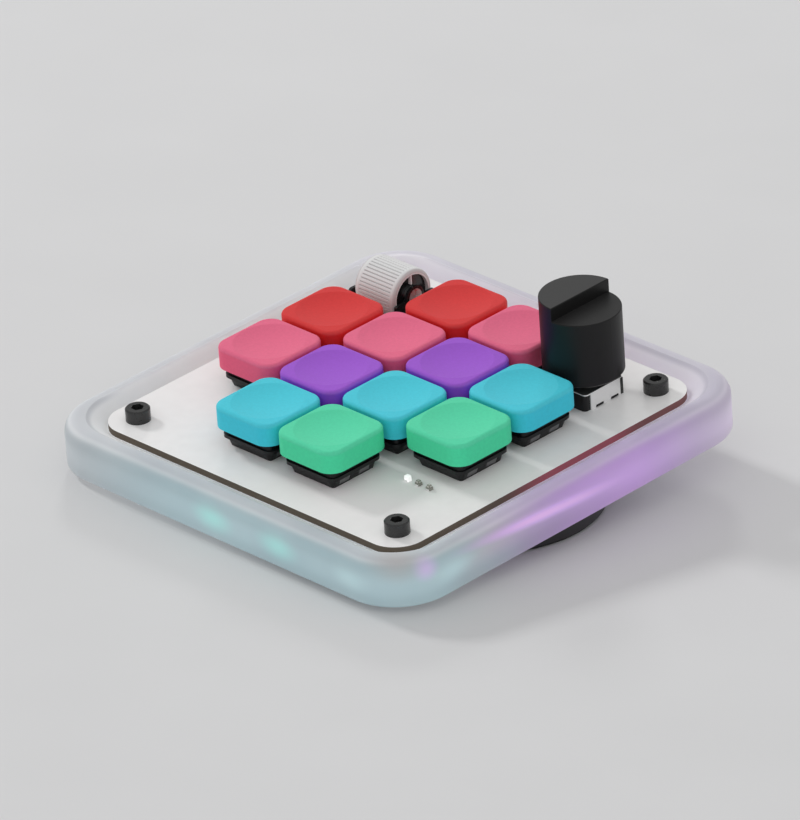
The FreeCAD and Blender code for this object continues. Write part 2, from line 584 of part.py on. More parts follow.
def make_case_frame():
    """The frosted ring: rim, sloping recess, ledge, corner bosses and socket channel."""
    body = new_body("case_frame_body")
    outline = sketch_on(body, "outline", level=PLATE_LOW)
    rounded_rectangle(outline, "case_width", "case_width", "case_corner")
    pad(body, outline, CREST + " - " + PLATE_LOW)
    round_edges(body, "Fillet", "rim_round", "Radius", edges_at("z", CREST))
    round_edges(body, "Fillet", "base_round", "Radius", edges_at("z", PLATE_LOW))
    recess = "2 * %s" % RECESS_HALF
    low = sketch_on(body, "slope_low", level=BOARD_LOW)
    rounded_rectangle(low, recess, recess, RECESS_CORNER)
    high = sketch_on(body, "slope_high", level=CREST)
    crest = "(2 * %s + 2 * rim_slope_run)" % RECESS_HALF
    rounded_rectangle(high, crest, crest, "(%s + rim_slope_run)" % RECESS_CORNER)
    slope = body.newObject("PartDesign::SubtractiveLoft", "slope")
    slope.Profile = low
    slope.Sections = [high]
    slope.Ruled = True
    cavity = sketch_on(body, "cavity", level=PLATE_LOW)
    inner = "(2 * %s - 2 * ledge_width)" % RECESS_HALF
    rounded_rectangle(cavity, inner, inner, "(%s - ledge_width)" % RECESS_CORNER)
    pocket(body, cavity, "%s - %s + board_thickness" % (BOARD_LOW, PLATE_LOW), flip=True)
    rebate = sketch_on(body, "rebate", level=PLATE_LOW)
    seat_width = "(case_width - 2 * plate_margin)"
    rounded_rectangle(rebate, seat_width, seat_width, "(case_corner - plate_margin)")
    pocket(body, rebate, "plate_thickness", flip=True)
    bosses = sketch_on(body, "bosses", level=PLATE_TOP)
    width = "(%s - %s + boss_half)" % (RECESS_HALF, SCREW_PLACE)
    middle = "(%s - %s / 2)" % (RECESS_HALF, width)
    for sx, sy in corners():
        rectangle(bosses, width, width, "%s * %s" % (sx, middle), "%s * %s" % (sy, middle))
    pad(body, bosses, "cavity_depth")
    inserts = sketch_on(body, "insert_holes", level=BOARD_LOW)
    for sx, sy in corners():
        circle(inserts, "insert_radius + thread_gap", *case_screw_place(sx, sy))
    pocket(body, inserts, "insert_length")
    screws = sketch_on(body, "plate_screw_holes", level=PLATE_TOP)
    for x, y in plate_screw_places():
        circle(screws, "plate_screw_radius + thread_gap", x, y)
    pocket(body, screws, "plate_screw_length - plate_thickness + thread_gap", flip=True)
    channel = sketch_on(body, "socket_channel", level=PLATE_TOP)
    front = "(%s - ledge_width - overrun)" % RECESS_HALF
    rear = "(case_width / 2 - port_setback)"
    middle = "(%s + %s) / 2" % (rear, front)
    rectangle(channel, "port_board_width + 2 * port_gap", "%s - %s" % (rear, front), "0", middle)
    pocket(body, channel, "port_board_thickness + port_height + port_gap", flip=True)
    mouth = sketch_on(body, "socket_mouth", role="XZ_Plane", level="port_setback - case_width / 2")
    height = "(port_height + 2 * port_gap)"
    centre = "(%s + port_board_thickness + port_height / 2)" % PLATE_TOP
    width = "port_width + 2 * port_gap"
    rounded_rectangle(mouth, width, height, "(%s - port_side_flat) / 2" % height, "0", centre)
    pocket(body, mouth, "port_setback + overrun")
    return seat(body, "case_frame")


def make_bottom_plate():
    """The plate that closes the tray, with countersunk holes and the foot's screw holes."""
    body = new_body("bottom_plate_body")
    outline = sketch_on(body, "outline", level=PLATE_LOW)
    width = "(case_width - 2 * plate_margin - 2 * plate_gap)"
    rounded_rectangle(outline, width, width, "(case_corner - plate_margin - plate_gap)")
    pad(body, outline, "plate_thickness")
    tools = []
    for x, y in plate_screw_places():
        tools.append(bore_through("hole", PLATE_SCREW_HOLE, x, y, PLATE_TOP, "plate_thickness"))
        sink = "plate_screw_head + thread_gap"
        tools.append(cone("sink", sink, PLATE_SCREW_HOLE, "plate_screw_cone + thread_gap", x, y, PLATE_LOW))
    for sx, sy in corners():
        x, y = foot_screw_place(sx, sy)
        tools.append(bore_through("hole", FOOT_SCREW_HOLE, x, y, PLATE_TOP, "plate_thickness"))
    return seat(cut("bottom_plate_cut", body, tools), "bottom_plate")


def make_plate_screws():
    screws = []
    for x, y in plate_screw_places():
        height = "plate_screw_cone"
        head = cone("screw_cone", "plate_screw_head", "plate_screw_radius", height, x, y, PLATE_LOW)
        shank = rod("screw_shank", "plate_screw_radius", "plate_screw_length", x, y, PLATE_LOW)
        drive = rod("screw_drive", "plate_screw_radius * drive_share", height, x, y, PLATE_LOW)
        screws.append(cut("plate_screw", fuse("plate_screw_solid", [head, shank]), [drive]))
    return seat(group("plate_screw_group", screws), "bottom_screws")


def make_case_screws():
    """Four socket-head screws that hold the board down."""
    screws = []
    for sx, sy in corners():
        body = new_body("case_screw_body")
        head = sketch_on(body, "head")
        circle(head, "screw_head_radius")
        pad(body, head, "screw_head_height")
        round_edges(body, "Chamfer", "screw_head_edge", "Size", edges_at("z", "screw_head_height"))
        socket = sketch_on(body, "socket", level="screw_head_height")
        polygon(socket, hexagon_points("hex_radius"))
        pocket(body, socket, "hex_depth")
        shank = sketch_on(body, "shank")
        circle(shank, "screw_radius")
        pad(body, shank, "screw_length", flip=True)
        x, y = case_screw_place(sx, sy)
        bind(body, ".Placement.Base.x", x)
        bind(body, ".Placement.Base.y", y)
        bind(body, ".Placement.Base.z", BOARD_TOP)
        screws.append(body)
    return seat(group("case_screw_group", screws), "case_screws")


def hexagon_points(radius):
    half = "%s / 2" % radius
    side = "%s * sqrt(3) / 2" % radius
    right = [(half, "-" + side), (radius, "0"), (half, side)]
    left = [("-" + half, side), ("-" + radius, "0"), ("-" + half, "-" + side)]
    return right + left


def make_case_inserts():
    inserts = []
    for sx, sy in corners():
        x, y = case_screw_place(sx, sy)
        sleeve = rod("insert_sleeve", "insert_radius", "insert_length", x, y, BOARD_LOW + " - insert_length")
        bore = bore_through("insert_bore", "screw_radius + thread_gap", x, y, BOARD_LOW, "insert_length")
        inserts.append(cut("case_insert", sleeve, [bore]))
    return seat(group("case_insert_group", inserts), "case_inserts")


def make_foot_wedge():
    """A long round-ended foot, cut level underneath, with a recess for its sole."""
    body = new_body("foot_wedge_body")
    outline = sketch_on(body, "outline", level=PLATE_LOW)
    stadium(outline, "foot_length", "foot_width")
    pad(body, outline, "2 * foot_rise", flip=True)
    level = level_sketch(body, "table_cut", "sole_stand")
    rectangle(level, "foot_length + 2 * overrun", "2 * foot_width")
    pocket(body, level, "2 * foot_rise")
    recess = level_sketch(body, "sole_recess", "sole_stand")
    length = "(foot_length - 2 * sole_inset + 2 * sole_gap)"
    stadium(recess, length, "(foot_width - 2 * sole_inset + 2 * sole_gap)")
    pocket(body, recess, "sole_thickness - sole_stand", flip=True)
    holes = sketch_on(body, "screw_holes", level=PLATE_LOW)
    for sx, sy in corners():
        circle(holes, FOOT_SCREW_HOLE, *foot_screw_place(sx, sy))
    pocket(body, holes, "foot_screw_length - plate_thickness")
    return seat(body, "foot_wedge")


def make_foot_sole():
    body = new_body("foot_sole_body")
    outline = sketch_on(body, "outline")
    stadium(outline, "(foot_length - 2 * sole_inset)", "(foot_width - 2 * sole_inset)")
    pad(body, outline, "sole_thickness")
    body.Label = "foot_sole"
    PARTS.append(body)
    return body


def make_foot_screws():
    screws = []
    for sx, sy in corners():
        x, y = foot_screw_place(sx, sy)
        head = rod("foot_screw_head", "foot_screw_head", "foot_screw_head_height", x, y, PLATE_TOP)
        low = PLATE_TOP + " - foot_screw_length"
        shank = rod("foot_screw_shank", "foot_screw_radius", "foot_screw_length", x, y, low)
        screws.append(fuse("foot_screw", [head, shank]))
    return seat(group("foot_screw_group", screws), "foot_screws")


def make_board():
    """The white circuit board, drilled for its screws, switch stubs and contact pins."""
    body = new_body("board_body")
    outline = sketch_on(body, "outline", level=BOARD_LOW)
    rounded_rectangle(outline, "board_width", "board_width", "board_corner")
    pad(body, outline, "board_thickness")
    holes = sketch_on(body, "holes", level=BOARD_TOP)
    for sx, sy in corners():
        circle(holes, SCREW_HOLE, *case_screw_place(sx, sy))
    for row, column in key_cells():
        x = cell_x(column)
        y = cell_y(row)
        circle(holes, "stub_radius + stub_gap", x, y)
        for px, py in pin_places():
            circle(holes, "pin_hole_radius", "%s + %s" % (x, px), "%s + %s" % (y, py))
    pocket(body, holes, "board_thickness")
    return seat(body, "board")


def pin_places():
    """The two contact pins of a switch, from its middle."""
    return [("-pin_far", "0"), ("-pin_near", "pin_near_side")]


def make_socket_board():
    plate = block("socket_board_plate", "port_board_width", "port_board_depth", "port_board_thickness",
                  "0", PORT_BOARD_MIDDLE, PLATE_TOP)
    seat(group("socket_board_solid", [plate]), "socket_board")
    low = "(%s + port_board_thickness)" % PLATE_TOP
    height = "%s - %s" % (BOARD_LOW, low)
    header = block("header", "header_width", "header_depth", height, "0", "header_place", low)
    seat(group("header_solid", [header]), "board_link")


def make_socket():
    """The cable socket: a rounded sheet shell with a contact tongue inside."""
    body = new_body("socket_body")
    centre = "(%s + port_board_thickness + port_height / 2)" % PLATE_TOP
    back = sketch_on(body, "shell", role="XZ_Plane", level="port_length - mouth_reach")
    rounded_rectangle(back, "port_width", "port_height", "(port_height - port_side_flat) / 2", "0", centre)
    pad(body, back, "port_length", flip=True)
    bore = sketch_on(body, "bore", role="XZ_Plane", level="port_length - port_back - mouth_reach")
    inside = "(port_height - 2 * port_wall)"
    across = "port_width - 2 * port_wall"
    rounded_rectangle(bore, across, inside, "(%s - port_side_flat) / 2" % inside, "0", centre)
    pocket(body, bore, "port_length")
    tongue = sketch_on(body, "tongue", role="XZ_Plane", level="port_length - port_back - mouth_reach")
    rectangle(tongue, across + " - 2 * port_tongue_margin", "port_tongue", "0", centre)
    pad(body, tongue, "port_length - 2 * port_back", flip=True)
    return seat(body, "cable_socket")


def make_chips():
    low = BOARD_LOW + " - chip_height"
    chip = block("controller", "chip_width", "chip_width", "chip_height", "0", "0", low)
    seat(group("controller_solid", [chip]), "controller_chip")
    lamps = []
    side = "(board_width / 2 - glow_led_inset)"
    low = BOARD_LOW + " - glow_led_height"
    for step in GLOW_LED_STEPS:
        along = "%d * key_pitch" % step
        for sign in ("-1", "1"):
            across = "%s * %s" % (sign, side)
            for x, y in ((along, across), (across, along)):
                lamp = block("glow_led", "glow_led_width", "glow_led_width", "glow_led_height", x, y, low)
                lamps.append(lamp)
    seat(group("glow_led_group", lamps), "glow_leds")
    for number in range(STATUS_LED_COUNT):
        row, column = EMPTY_CELLS[-1]
        x = "%s + %d * status_led_pitch" % (cell_x(column), number - 1)
        y = "%s + status_led_ahead" % cell_y(row)
        width = "status_led_width"
        lamp = block("status_lamp", width, width, "status_led_height", x, y, BOARD_TOP)
        seat(group("status_lamp_solid", [lamp]), "status_led_%d" % (number + 1))


def make_switch_base(row, column):
    """A tapered base with a flange, an open well and a stub that goes through the board."""
    body = new_body("switch_base_body")
    foot = sketch_on(body, "foot")
    rounded_rectangle(foot, "2 * base_foot_half", "2 * base_foot_half", "base_corner")
    taper = pad(body, foot, "flange_low")
    bind(taper, "TaperAngle", "atan((base_neck_half - base_foot_half) / flange_low)")
    flange = sketch_on(body, "flange", level="flange_low")
    rounded_rectangle(flange, "2 * flange_half", "2 * flange_half", "flange_corner")
    pad(body, flange, "flange_thickness")
    well = sketch_on(body, "well", level=FLANGE_TOP)
    rectangle(well, "2 * well_half", "2 * well_half")
    pocket(body, well, "%s - well_floor" % FLANGE_TOP)
    post = sketch_on(body, "spring_post", level="well_floor")
    circle(post, "spring_post_radius")
    pad(body, post, "spring_post_height")
    stub = sketch_on(body, "stub")
    circle(stub, "stub_radius")
    pad(body, stub, "stub_length", flip=True)
    notches = sketch_on(body, "notches", level="notch_low")
    depth = "(notch_depth + overrun)"
    middle = "base_foot_half - notch_depth + %s / 2" % depth
    for sign in ("-1", "1"):
        rectangle(notches, depth, "notch_width", middle, "%s * notch_spread" % sign)
    pocket(body, notches, "flange_low - notch_low", flip=True)
    return stand_in_cell(body, row, column, "0")


def stand_in_cell(piece, row, column, z):
    """Place a piece of a group in its cell of the board, z above the board."""
    bind(piece, ".Placement.Base.x", cell_x(column))
    bind(piece, ".Placement.Base.y", cell_y(row))
    bind(piece, ".Placement.Base.z", "%s + %s" % (BOARD_TOP, z))
    return piece


def make_switch_cover(row, column):
    """The switch's cover: leaning sides, a thin roof and the opening for the stem."""
    body = new_body("switch_cover_body")
    foot = sketch_on(body, "foot")
    rounded_rectangle(foot, "2 * base_neck_half", "2 * base_neck_half", "base_corner + cover_lean")
    height = "(%s - %s)" % (COVER_TOP, FLANGE_TOP)
    lean = pad(body, foot, height)
    bind(lean, "TaperAngle", "-atan(cover_lean / %s)" % height)
    hollow = sketch_on(body, "hollow")
    rectangle(hollow, "2 * well_half", "2 * well_half")
    pocket(body, hollow, "%s - cover_roof" % height, flip=True)
    opening = sketch_on(body, "opening", level=height)
    rectangle(opening, "stem_depth + 2 * slide_gap", "stem_length + 2 * slide_gap")
    pocket(body, opening, "cover_roof")
    return stand_in_cell(body, row, column, FLANGE_TOP)


def make_switch_groups():
    """The parts of the twelve switches that stay on the board, grouped by kind."""
    cells = key_cells()
    bases = [make_switch_base(row, column) for row, column in cells]
    covers = [make_switch_cover(row, column) for row, column in cells]
    seat(group("switch_base_group", bases), "switch_bases")
    seat(group("switch_cover_group", covers), "switch_covers")
    pins = []
    springs = []
    for row, column in cells:
        x = cell_x(column)
        y = cell_y(row)
        low = BOARD_TOP + " - pin_length"
        for px, py in pin_places():
            at_x = "%s + %s" % (x, px)
            at_y = "%s + %s" % (y, py)
            pins.append(block("switch_pin", "pin_thickness", "pin_width", "pin_length", at_x, at_y, low))
        low = "%s + well_floor" % BOARD_TOP
        length = "(%s - well_floor + spring_pocket)" % STEM_FOOT_LOW
        top = "%s + %s" % (low, length)
        coil = rod("spring_coil", "spring_radius", length, x, y, low)
        bore = bore_through("spring_bore", "spring_radius - spring_wire", x, y, top, length)
        springs.append(cut("switch_spring", coil, [bore]))
    seat(group("switch_pin_group", pins), "switch_pins")
    seat(group("switch_spring_group", springs), "switch_springs")


def make_stem(row, column):
    """The sliding stem: a block with two slots for the keycap's prongs, on a wider foot."""
    body = new_body("stem_body")
    block_sketch = sketch_on(body, "block")
    rectangle(block_sketch, "stem_depth", "stem_length")
    pad(body, block_sketch, "%s - %s" % (STEM_TOP, STEM_FOOT_LOW))
    foot = sketch_on(body, "foot")
    rectangle(foot, "stem_foot_depth", "stem_foot_length")
    pad(body, foot, "stem_foot_height")
    spring = sketch_on(body, "spring_pocket")
    circle(spring, "spring_radius + slide_gap")
    pocket(body, spring, "spring_pocket", flip=True)
    slots = sketch_on(body, "slots", level="%s - %s" % (STEM_TOP, STEM_FOOT_LOW))
    width = "prong_width + 2 * thread_gap"
    thickness = "prong_thickness + 2 * thread_gap"
    for sign in ("-1", "1"):
        rectangle(slots, width, thickness, "0", "%s * prong_spacing / 2" % sign)
    pocket(body, slots, "prong_depth + thread_gap")
    label = "stem_r%dc%d" % (row + 1, column + 1)
    return seat(body, label, cell_x(column), cell_y(row), "%s + %s" % (BOARD_TOP, STEM_FOOT_LOW))


def make_keycap(row, column):
    """A hollow square cap with soft upper edges, a shallow dish and two prongs."""
    body = new_body("keycap_body")
    outline = sketch_on(body, "outline")
    rounded_rectangle(outline, "cap_width", "cap_width", "cap_corner")
    pad(body, outline, "cap_height")
    round_edges(body, "Fillet", "cap_edge", "Radius", edges_at("z", "cap_height"))
    dish = body.newObject("PartDesign::SubtractiveSphere", "dish")
    radius = "((dish_width / 2) ^ 2 + dish_depth ^ 2) / (2 * dish_depth)"
    bind(dish, "Radius", radius)
    bind(dish, ".AttachmentOffset.Base.z", "cap_height - dish_depth + " + radius)
    dish.AttachmentSupport = [(plane_of(body, "XY_Plane"), "")]
    dish.MapMode = "FlatFace"
    hollow = sketch_on(body, "hollow")
    inner = "(cap_width - 2 * cap_wall)"
    rounded_rectangle(hollow, inner, inner, "(cap_corner - cap_wall)")
    pocket(body, hollow, "cap_height - cap_roof", flip=True)
    prongs = sketch_on(body, "prongs", level="cap_height - cap_roof")
    for sign in ("-1", "1"):
        rectangle(prongs, "prong_width", "prong_thickness", "0", "%s * prong_spacing / 2" % sign)
    pad(body, prongs, "prong_depth", flip=True)
    label = "keycap_r%dc%d" % (row + 1, column + 1)
    return seat(body, label, cell_x(column), cell_y(row), "%s + %s" % (BOARD_TOP, CAP_LOW))


def make_encoder():
    """The push encoder under the knob: body, metal cover with its bushing, plunger and shaft."""
    row, column = KNOB_CELL
    place = (cell_x(column), cell_y(row))
    body = new_body("encoder_body_body")
    outline = sketch_on(body, "outline")
    rounded_rectangle(outline, "2 * body_half_x", "2 * body_half_y", "body_corner")
    pad(body, outline, "body_height")
    chamber = sketch_on(body, "chamber", level="body_height")
    circle(chamber, "shaft_radius + slide_gap")
    pocket(body, chamber, "body_height - body_floor")
    seat(body, "encoder_body", place[0], place[1], BOARD_TOP)

    cover = new_body("encoder_cover_body")
    sheet_sketch = sketch_on(cover, "sheet", level="body_height")
    rounded_rectangle(sheet_sketch, "2 * body_half_x + 2 * cover_sheet", "2 * body_half_y", "body_corner")
    pad(cover, sheet_sketch, "cover_sheet")
    legs = sketch_on(cover, "legs")
    for sign in ("-1", "1"):
        side = "%s * (body_half_x + cover_sheet / 2)" % sign
        rectangle(legs, "cover_sheet", "cover_leg_width", side, "cover_leg_shift")
    pad(cover, legs, "body_height")
    notches = sketch_on(cover, "notches")
    for sign in ("-1", "1"):
        across = "(2 * body_half_x + 2 * cover_sheet + 2 * overrun)"
        rectangle(notches, across, "leg_notch_width", "0", "cover_leg_shift + %s * leg_notch_spread" % sign)
    pocket(cover, notches, "leg_notch_height", flip=True)
    collar = sketch_on(cover, "collar", level=METAL_TOP)
    circle(collar, "bushing_collar_radius")
    pad(cover, collar, "bushing_collar_height")
    bushing = sketch_on(cover, "bushing", level=METAL_TOP)
    circle(bushing, "bushing_radius")
    pad(cover, bushing, "bushing_height")
    bore = sketch_on(cover, "bore", level=BUSHING_TOP)
    circle(bore, "shaft_radius + running_gap")
    pocket(cover, bore, "bushing_height + cover_sheet + overrun")
    seat(cover, "encoder_cover", place[0], place[1], BOARD_TOP)

    plunger = rod("encoder_plunger_rod", "plunger_radius", "plunger_height")
    low = "(body_floor + knob_press + slide_gap)"
    seat(plunger, "encoder_plunger", place[0], place[1], "%s + %s" % (BOARD_TOP, low))

    shaft = new_body("encoder_shaft_body")
    round_part = sketch_on(shaft, "round")
    circle(round_part, "shaft_radius")
    pad(shaft, round_part, "%s + shaft_grip - %s" % (GRIP_LOW, SHAFT_LOW))
    flat = sketch_on(shaft, "flat", level="%s + shaft_grip - %s" % (GRIP_LOW, SHAFT_LOW))
    rectangle(flat, "shaft_radius", "2 * shaft_radius + 2 * overrun", "shaft_flat + shaft_radius / 2")
    pocket(shaft, flat, "shaft_grip")
    seat(shaft, "encoder_shaft", place[0], place[1], "%s + %s" % (BOARD_TOP, SHAFT_LOW))


def make_knob():
    """The round knob, its top stepped down along a line through the middle."""
    row, column = KNOB_CELL
    body = new_body("knob_body")
    low = sketch_on(body, "round")
    circle(low, "knob_radius")
    pad(body, low, "knob_step_level - knob_low + knob_step")
    step = sketch_on(body, "step", level="knob_step_level - knob_low + knob_step")
    rectangle(step, "knob_radius + overrun", "2 * knob_radius + 2 * overrun", "(knob_radius + overrun) / 2")
    pocket(body, step, "knob_step")
    high = value_of("knob_step_level - knob_low + knob_step")
    foot = value_of("knob_step_level - knob_low")

    def upper(edge):
        levels = [vertex.Point.z for vertex in edge.Vertexes]
        on_top = all(abs(level - high) < CLOSE for level in levels)
        on_step = all(abs(level - foot) < CLOSE for level in levels)
        return on_top or (on_step and edge.Curve.TypeId == "Part::GeomCircle")

    round_edges(body, "Fillet", "knob_edge", "Radius", upper)
    round_edges(body, "Chamfer", "knob_base_edge", "Size", edges_at("z", "0"))
    skirt = sketch_on(body, "skirt")
    circle(skirt, "knob_skirt_radius")
    pocket(body, skirt, "knob_skirt_depth", flip=True)
    well = sketch_on(body, "well")
    circle(well, "knob_well_radius")
    pocket(body, well, "%s - knob_low" % GRIP_LOW, flip=True)
    bore = sketch_on(body, "bore", level="%s - knob_low" % GRIP_LOW)
    flat_bore(bore, "shaft_radius + thread_gap", "shaft_flat + thread_gap")
    pocket(body, bore, "shaft_grip + thread_gap", flip=True)
    return seat(body, "knob", cell_x(column), cell_y(row), "%s + knob_low" % BOARD_TOP)


def flat_bore(sketch, radius, flat):
    """A circle with one side cut straight, square to X."""
    r = value_of(radius)
    f = value_of(flat)
    half = (r * r - f * f) ** 0.5
    sketch.addGeometry(Part.LineSegment(Vector(f, -half, 0), Vector(f, half, 0)))
    ring = Part.Circle(Vector(0, 0, 0), Vector(0, 0, 1), r)
    start = ring.parameter(Vector(f, half, 0))
    end = ring.parameter(Vector(f, -half, 0))
    sketch.addGeometry(Part.ArcOfCircle(ring, start, end))
    sketch.addConstraint(Sketcher.Constraint("Coincident", 0, 2, 1, 1))
    sketch.addConstraint(Sketcher.Constraint("Coincident", 1, 2, 0, 1))
    sketch.addConstraint(Sketcher.Constraint("Coincident", 1, 3, -1, 1))
    sketch.addConstraint(Sketcher.Constraint("Vertical", 0))
    datum(sketch, Sketcher.Constraint("Radius", 1, r), radius)
    datum(sketch, Sketcher.Constraint("DistanceX", -1, 1, 0, 1, f), flat)


def make_roller():
    """The ribbed roller: a tyre closed at its far end, with one white web at its open end."""
    row, column = ROLLER_CELL
    body = new_body("roller_body")
    outline = sketch_on(body, "outline", role="YZ_Plane", level="-roller_far_end")
    circle(outline, "roller_radius")
    pad(body, outline, "roller_far_end + roller_near_end")
    round_edges(body, "Fillet", "roller_near_round", "Radius", edges_at("x", "roller_near_end"))
    round_edges(body, "Fillet", "roller_far_round", "Radius", edges_at("x", "-roller_far_end"))
    hollow = sketch_on(body, "hollow", role="YZ_Plane", level="roller_near_end")
    circle(hollow, "roller_bore")
    pocket(body, hollow, "roller_far_end + roller_near_end - roller_far_wall")
    web = sketch_on(body, "web", role="YZ_Plane", level="roller_near_end - core_recess + thread_gap")
    inner = "(arm_lobe_radius + slide_gap)"
    middle = "(roller_bore + web_sink + %s) / 2" % inner
    rectangle(web, "web_thickness", "roller_bore + web_sink - %s" % inner, "0", middle)
    pad(body, web, "core_recess - 2 * thread_gap")
    axle = sketch_on(body, "axle_hole", role="YZ_Plane", level="-roller_far_end")
    circle(axle, "axle_radius + running_gap")
    pocket(body, axle, "roller_far_wall + thread_gap", flip=True)
    groove = sketch_on(body, "groove", role="YZ_Plane", level="rib_far_margin - roller_far_end")
    half = "(pi * roller_radius / %d * rib_gap_share)" % RIB_COUNT
    outside = "roller_radius + rib_depth"
    polygon(groove, [("-" + half, outside), ("0", "roller_radius - rib_depth"), (half, outside)])
    length = "(roller_far_end + roller_near_end - rib_near_margin - rib_far_margin)"
    first = pocket(body, groove, length, flip=True)
    doc.recompute()
    ribs = body.newObject("PartDesign::PolarPattern", "ribs")
    ribs.Originals = [first]
    ribs.Axis = (groove, ["N_Axis"])
    ribs.Angle = FULL_TURN
    ribs.Occurrences = RIB_COUNT
    body.Tip = ribs
    return seat(body, "roller", cell_x(column), cell_y(row), "%s + roller_axis_level" % BOARD_TOP)


def make_roller_core():
    """The black core inside the roller's tyre."""
    row, column = ROLLER_CELL
    body = new_body("roller_core_body")
    start = "(roller_far_wall - roller_far_end + thread_gap)"
    ring = sketch_on(body, "ring", role="YZ_Plane", level=start)
    circle(ring, "roller_bore - thread_gap")
    circle(ring, "axle_radius + running_gap")
    pad(body, ring, "roller_near_end - core_recess - %s" % start)
    return seat(body, "roller_core", cell_x(column), cell_y(row), "%s + roller_axis_level" % BOARD_TOP)


def make_roller_frame():
    """The black frame: a floor on the board and two arms that carry the axle."""
    row, column = ROLLER_CELL
    body = new_body("roller_frame_body")
    near = "(roller_near_end + arm_gap)"
    far = "(roller_far_end + arm_gap + arm_thickness)"
    for name, level in (("near_arm", near), ("far_arm", "-" + far)):
        arm = sketch_on(body, name, role="YZ_Plane", level=level)
        height = "(roller_axis_level - arm_drop)"
        rounded_rectangle(arm, "2 * arm_half", height, "arm_corner", "0", height + " / 2")
        pad(body, arm, "arm_thickness")
        lobe = sketch_on(body, name + "_lobe", role="YZ_Plane", level=level)
        circle(lobe, "arm_lobe_radius", "0", "roller_axis_level")
        pad(body, lobe, "arm_thickness")
        if name == "near_arm":
            floor = sketch_on(body, "floor")
            length = "(%s + %s + arm_thickness)" % (near, far)
            rectangle(floor, length, "2 * arm_half", "(%s + arm_thickness - %s) / 2" % (near, far))
            pad(body, floor, "frame_floor")
    axle = sketch_on(body, "axle_hole", role="YZ_Plane", level="-" + far + " - overrun")
    circle(axle, "axle_radius + thread_gap", "0", "roller_axis_level")
    pocket(body, axle, "%s + %s + arm_thickness + 2 * overrun" % (near, far), flip=True)
    return seat(body, "roller_frame", cell_x(column), cell_y(row), BOARD_TOP)


def make_roller_axle():
    row, column = ROLLER_CELL
    body = new_body("roller_axle_body")
    start = "(-roller_far_end - arm_gap - arm_thickness)"
    outline = sketch_on(body, "outline", role="YZ_Plane", level=start)
    circle(outline, "axle_radius")
    pad(body, outline, "roller_near_end + arm_gap + arm_thickness - %s" % start)
    return seat(body, "roller_axle", cell_x(column), cell_y(row), "%s + roller_axis_level" % BOARD_TOP)


def check_document():
    """Stop if any feature failed or any sub-part has no sound solid."""
    for item in doc.Objects:
        for word in item.State:
            if word in ("Invalid", "Error"):
                raise SystemExit("%s (%s) is %s" % (item.Name, item.Label, word))
    for part in PARTS:
        if part.Shape.isNull() or not part.Shape.isValid() or not part.Shape.Solids:
            raise SystemExit("%s has no sound solid" % part.Label)


def write_parts():
    os.makedirs("parts", exist_ok=True)
    for part in PARTS:
        part.Shape.exportStep("parts/%s.step" % part.Label)
        print("%-18s %2d solids %10.2f mm3" % (part.Label, len(part.Shape.Solids), part.Shape.Volume))


fill_sheet()
make_case_frame()
make_bottom_plate()
make_plate_screws()
make_case_screws()
make_case_inserts()
make_foot_wedge()
make_foot_sole()
make_foot_screws()
make_board()
make_socket_board()
make_socket()
make_chips()
make_switch_groups()
for key_row, key_column in key_cells():
    make_stem(key_row, key_column)
    make_keycap(key_row, key_column)
make_encoder()
make_knob()
make_roller_frame()
make_roller_axle()
make_roller()
make_roller_core()
doc.recompute()
check_document()
write_parts()
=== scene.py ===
from math import cos, radians, sin

import bmesh
import bpy
from mathutils import Matrix, Vector


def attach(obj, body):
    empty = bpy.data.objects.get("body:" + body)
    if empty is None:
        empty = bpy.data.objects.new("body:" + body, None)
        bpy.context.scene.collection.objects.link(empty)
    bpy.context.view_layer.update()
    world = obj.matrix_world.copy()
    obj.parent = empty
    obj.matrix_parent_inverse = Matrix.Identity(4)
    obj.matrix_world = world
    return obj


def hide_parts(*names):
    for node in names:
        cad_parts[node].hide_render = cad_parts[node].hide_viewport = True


MM = 0.001
TILT = radians(5)
# The board's top above the table point under the tray's middle, along the board's normal, in mm
BOARD_LEVEL = 15.26
# From millimetres in the tray's frame, up from the board's top, to metres in the row frame
TRAY = Matrix.Rotation(TILT, 4, "X") @ Matrix.Translation((0, 0, BOARD_LEVEL * MM)) @ Matrix.Scale(MM, 4)
# From the middle of one key to the middle of the next, in mm
PITCH = 19.05
# Longer than anything here, in mm
FAR = 1000
# What a noise texture's value mostly lies between
NOISE_RANGE = (0.3, 0.7)
# Camera: the angle and distance at which the photograph was taken
AZIMUTH = radians(45)
ELEVATION = radians(24.9)
DISTANCE = 1.808
LENS = 370.4
SENSOR = 36.0
# The middle of the board's top in the row frame, and how far the picture's middle is from it
BOARD_MIDDLE = Vector((0, -1.33, 15.2)) * MM
AIM_RIGHT = 0.62 * MM
AIM_UP = -1.07 * MM

WORLD_LIGHT = 0.60
LAMP_DISTANCE = 3.0
# Soft lamps: the angle round from the row's X and the height, in degrees, the width and the power in watts
LAMPS = [
    ("left_lamp", 182, 33, 0.45, 27.0),
    ("rear_lamp", 135, 25, 0.45, 15.0),
    ("front_fill", 310, 40, 2.5, 12.0),
]
FLOOR_SIZE = 24.0
FLOOR_COLOUR = (0.70, 0.70, 0.705)


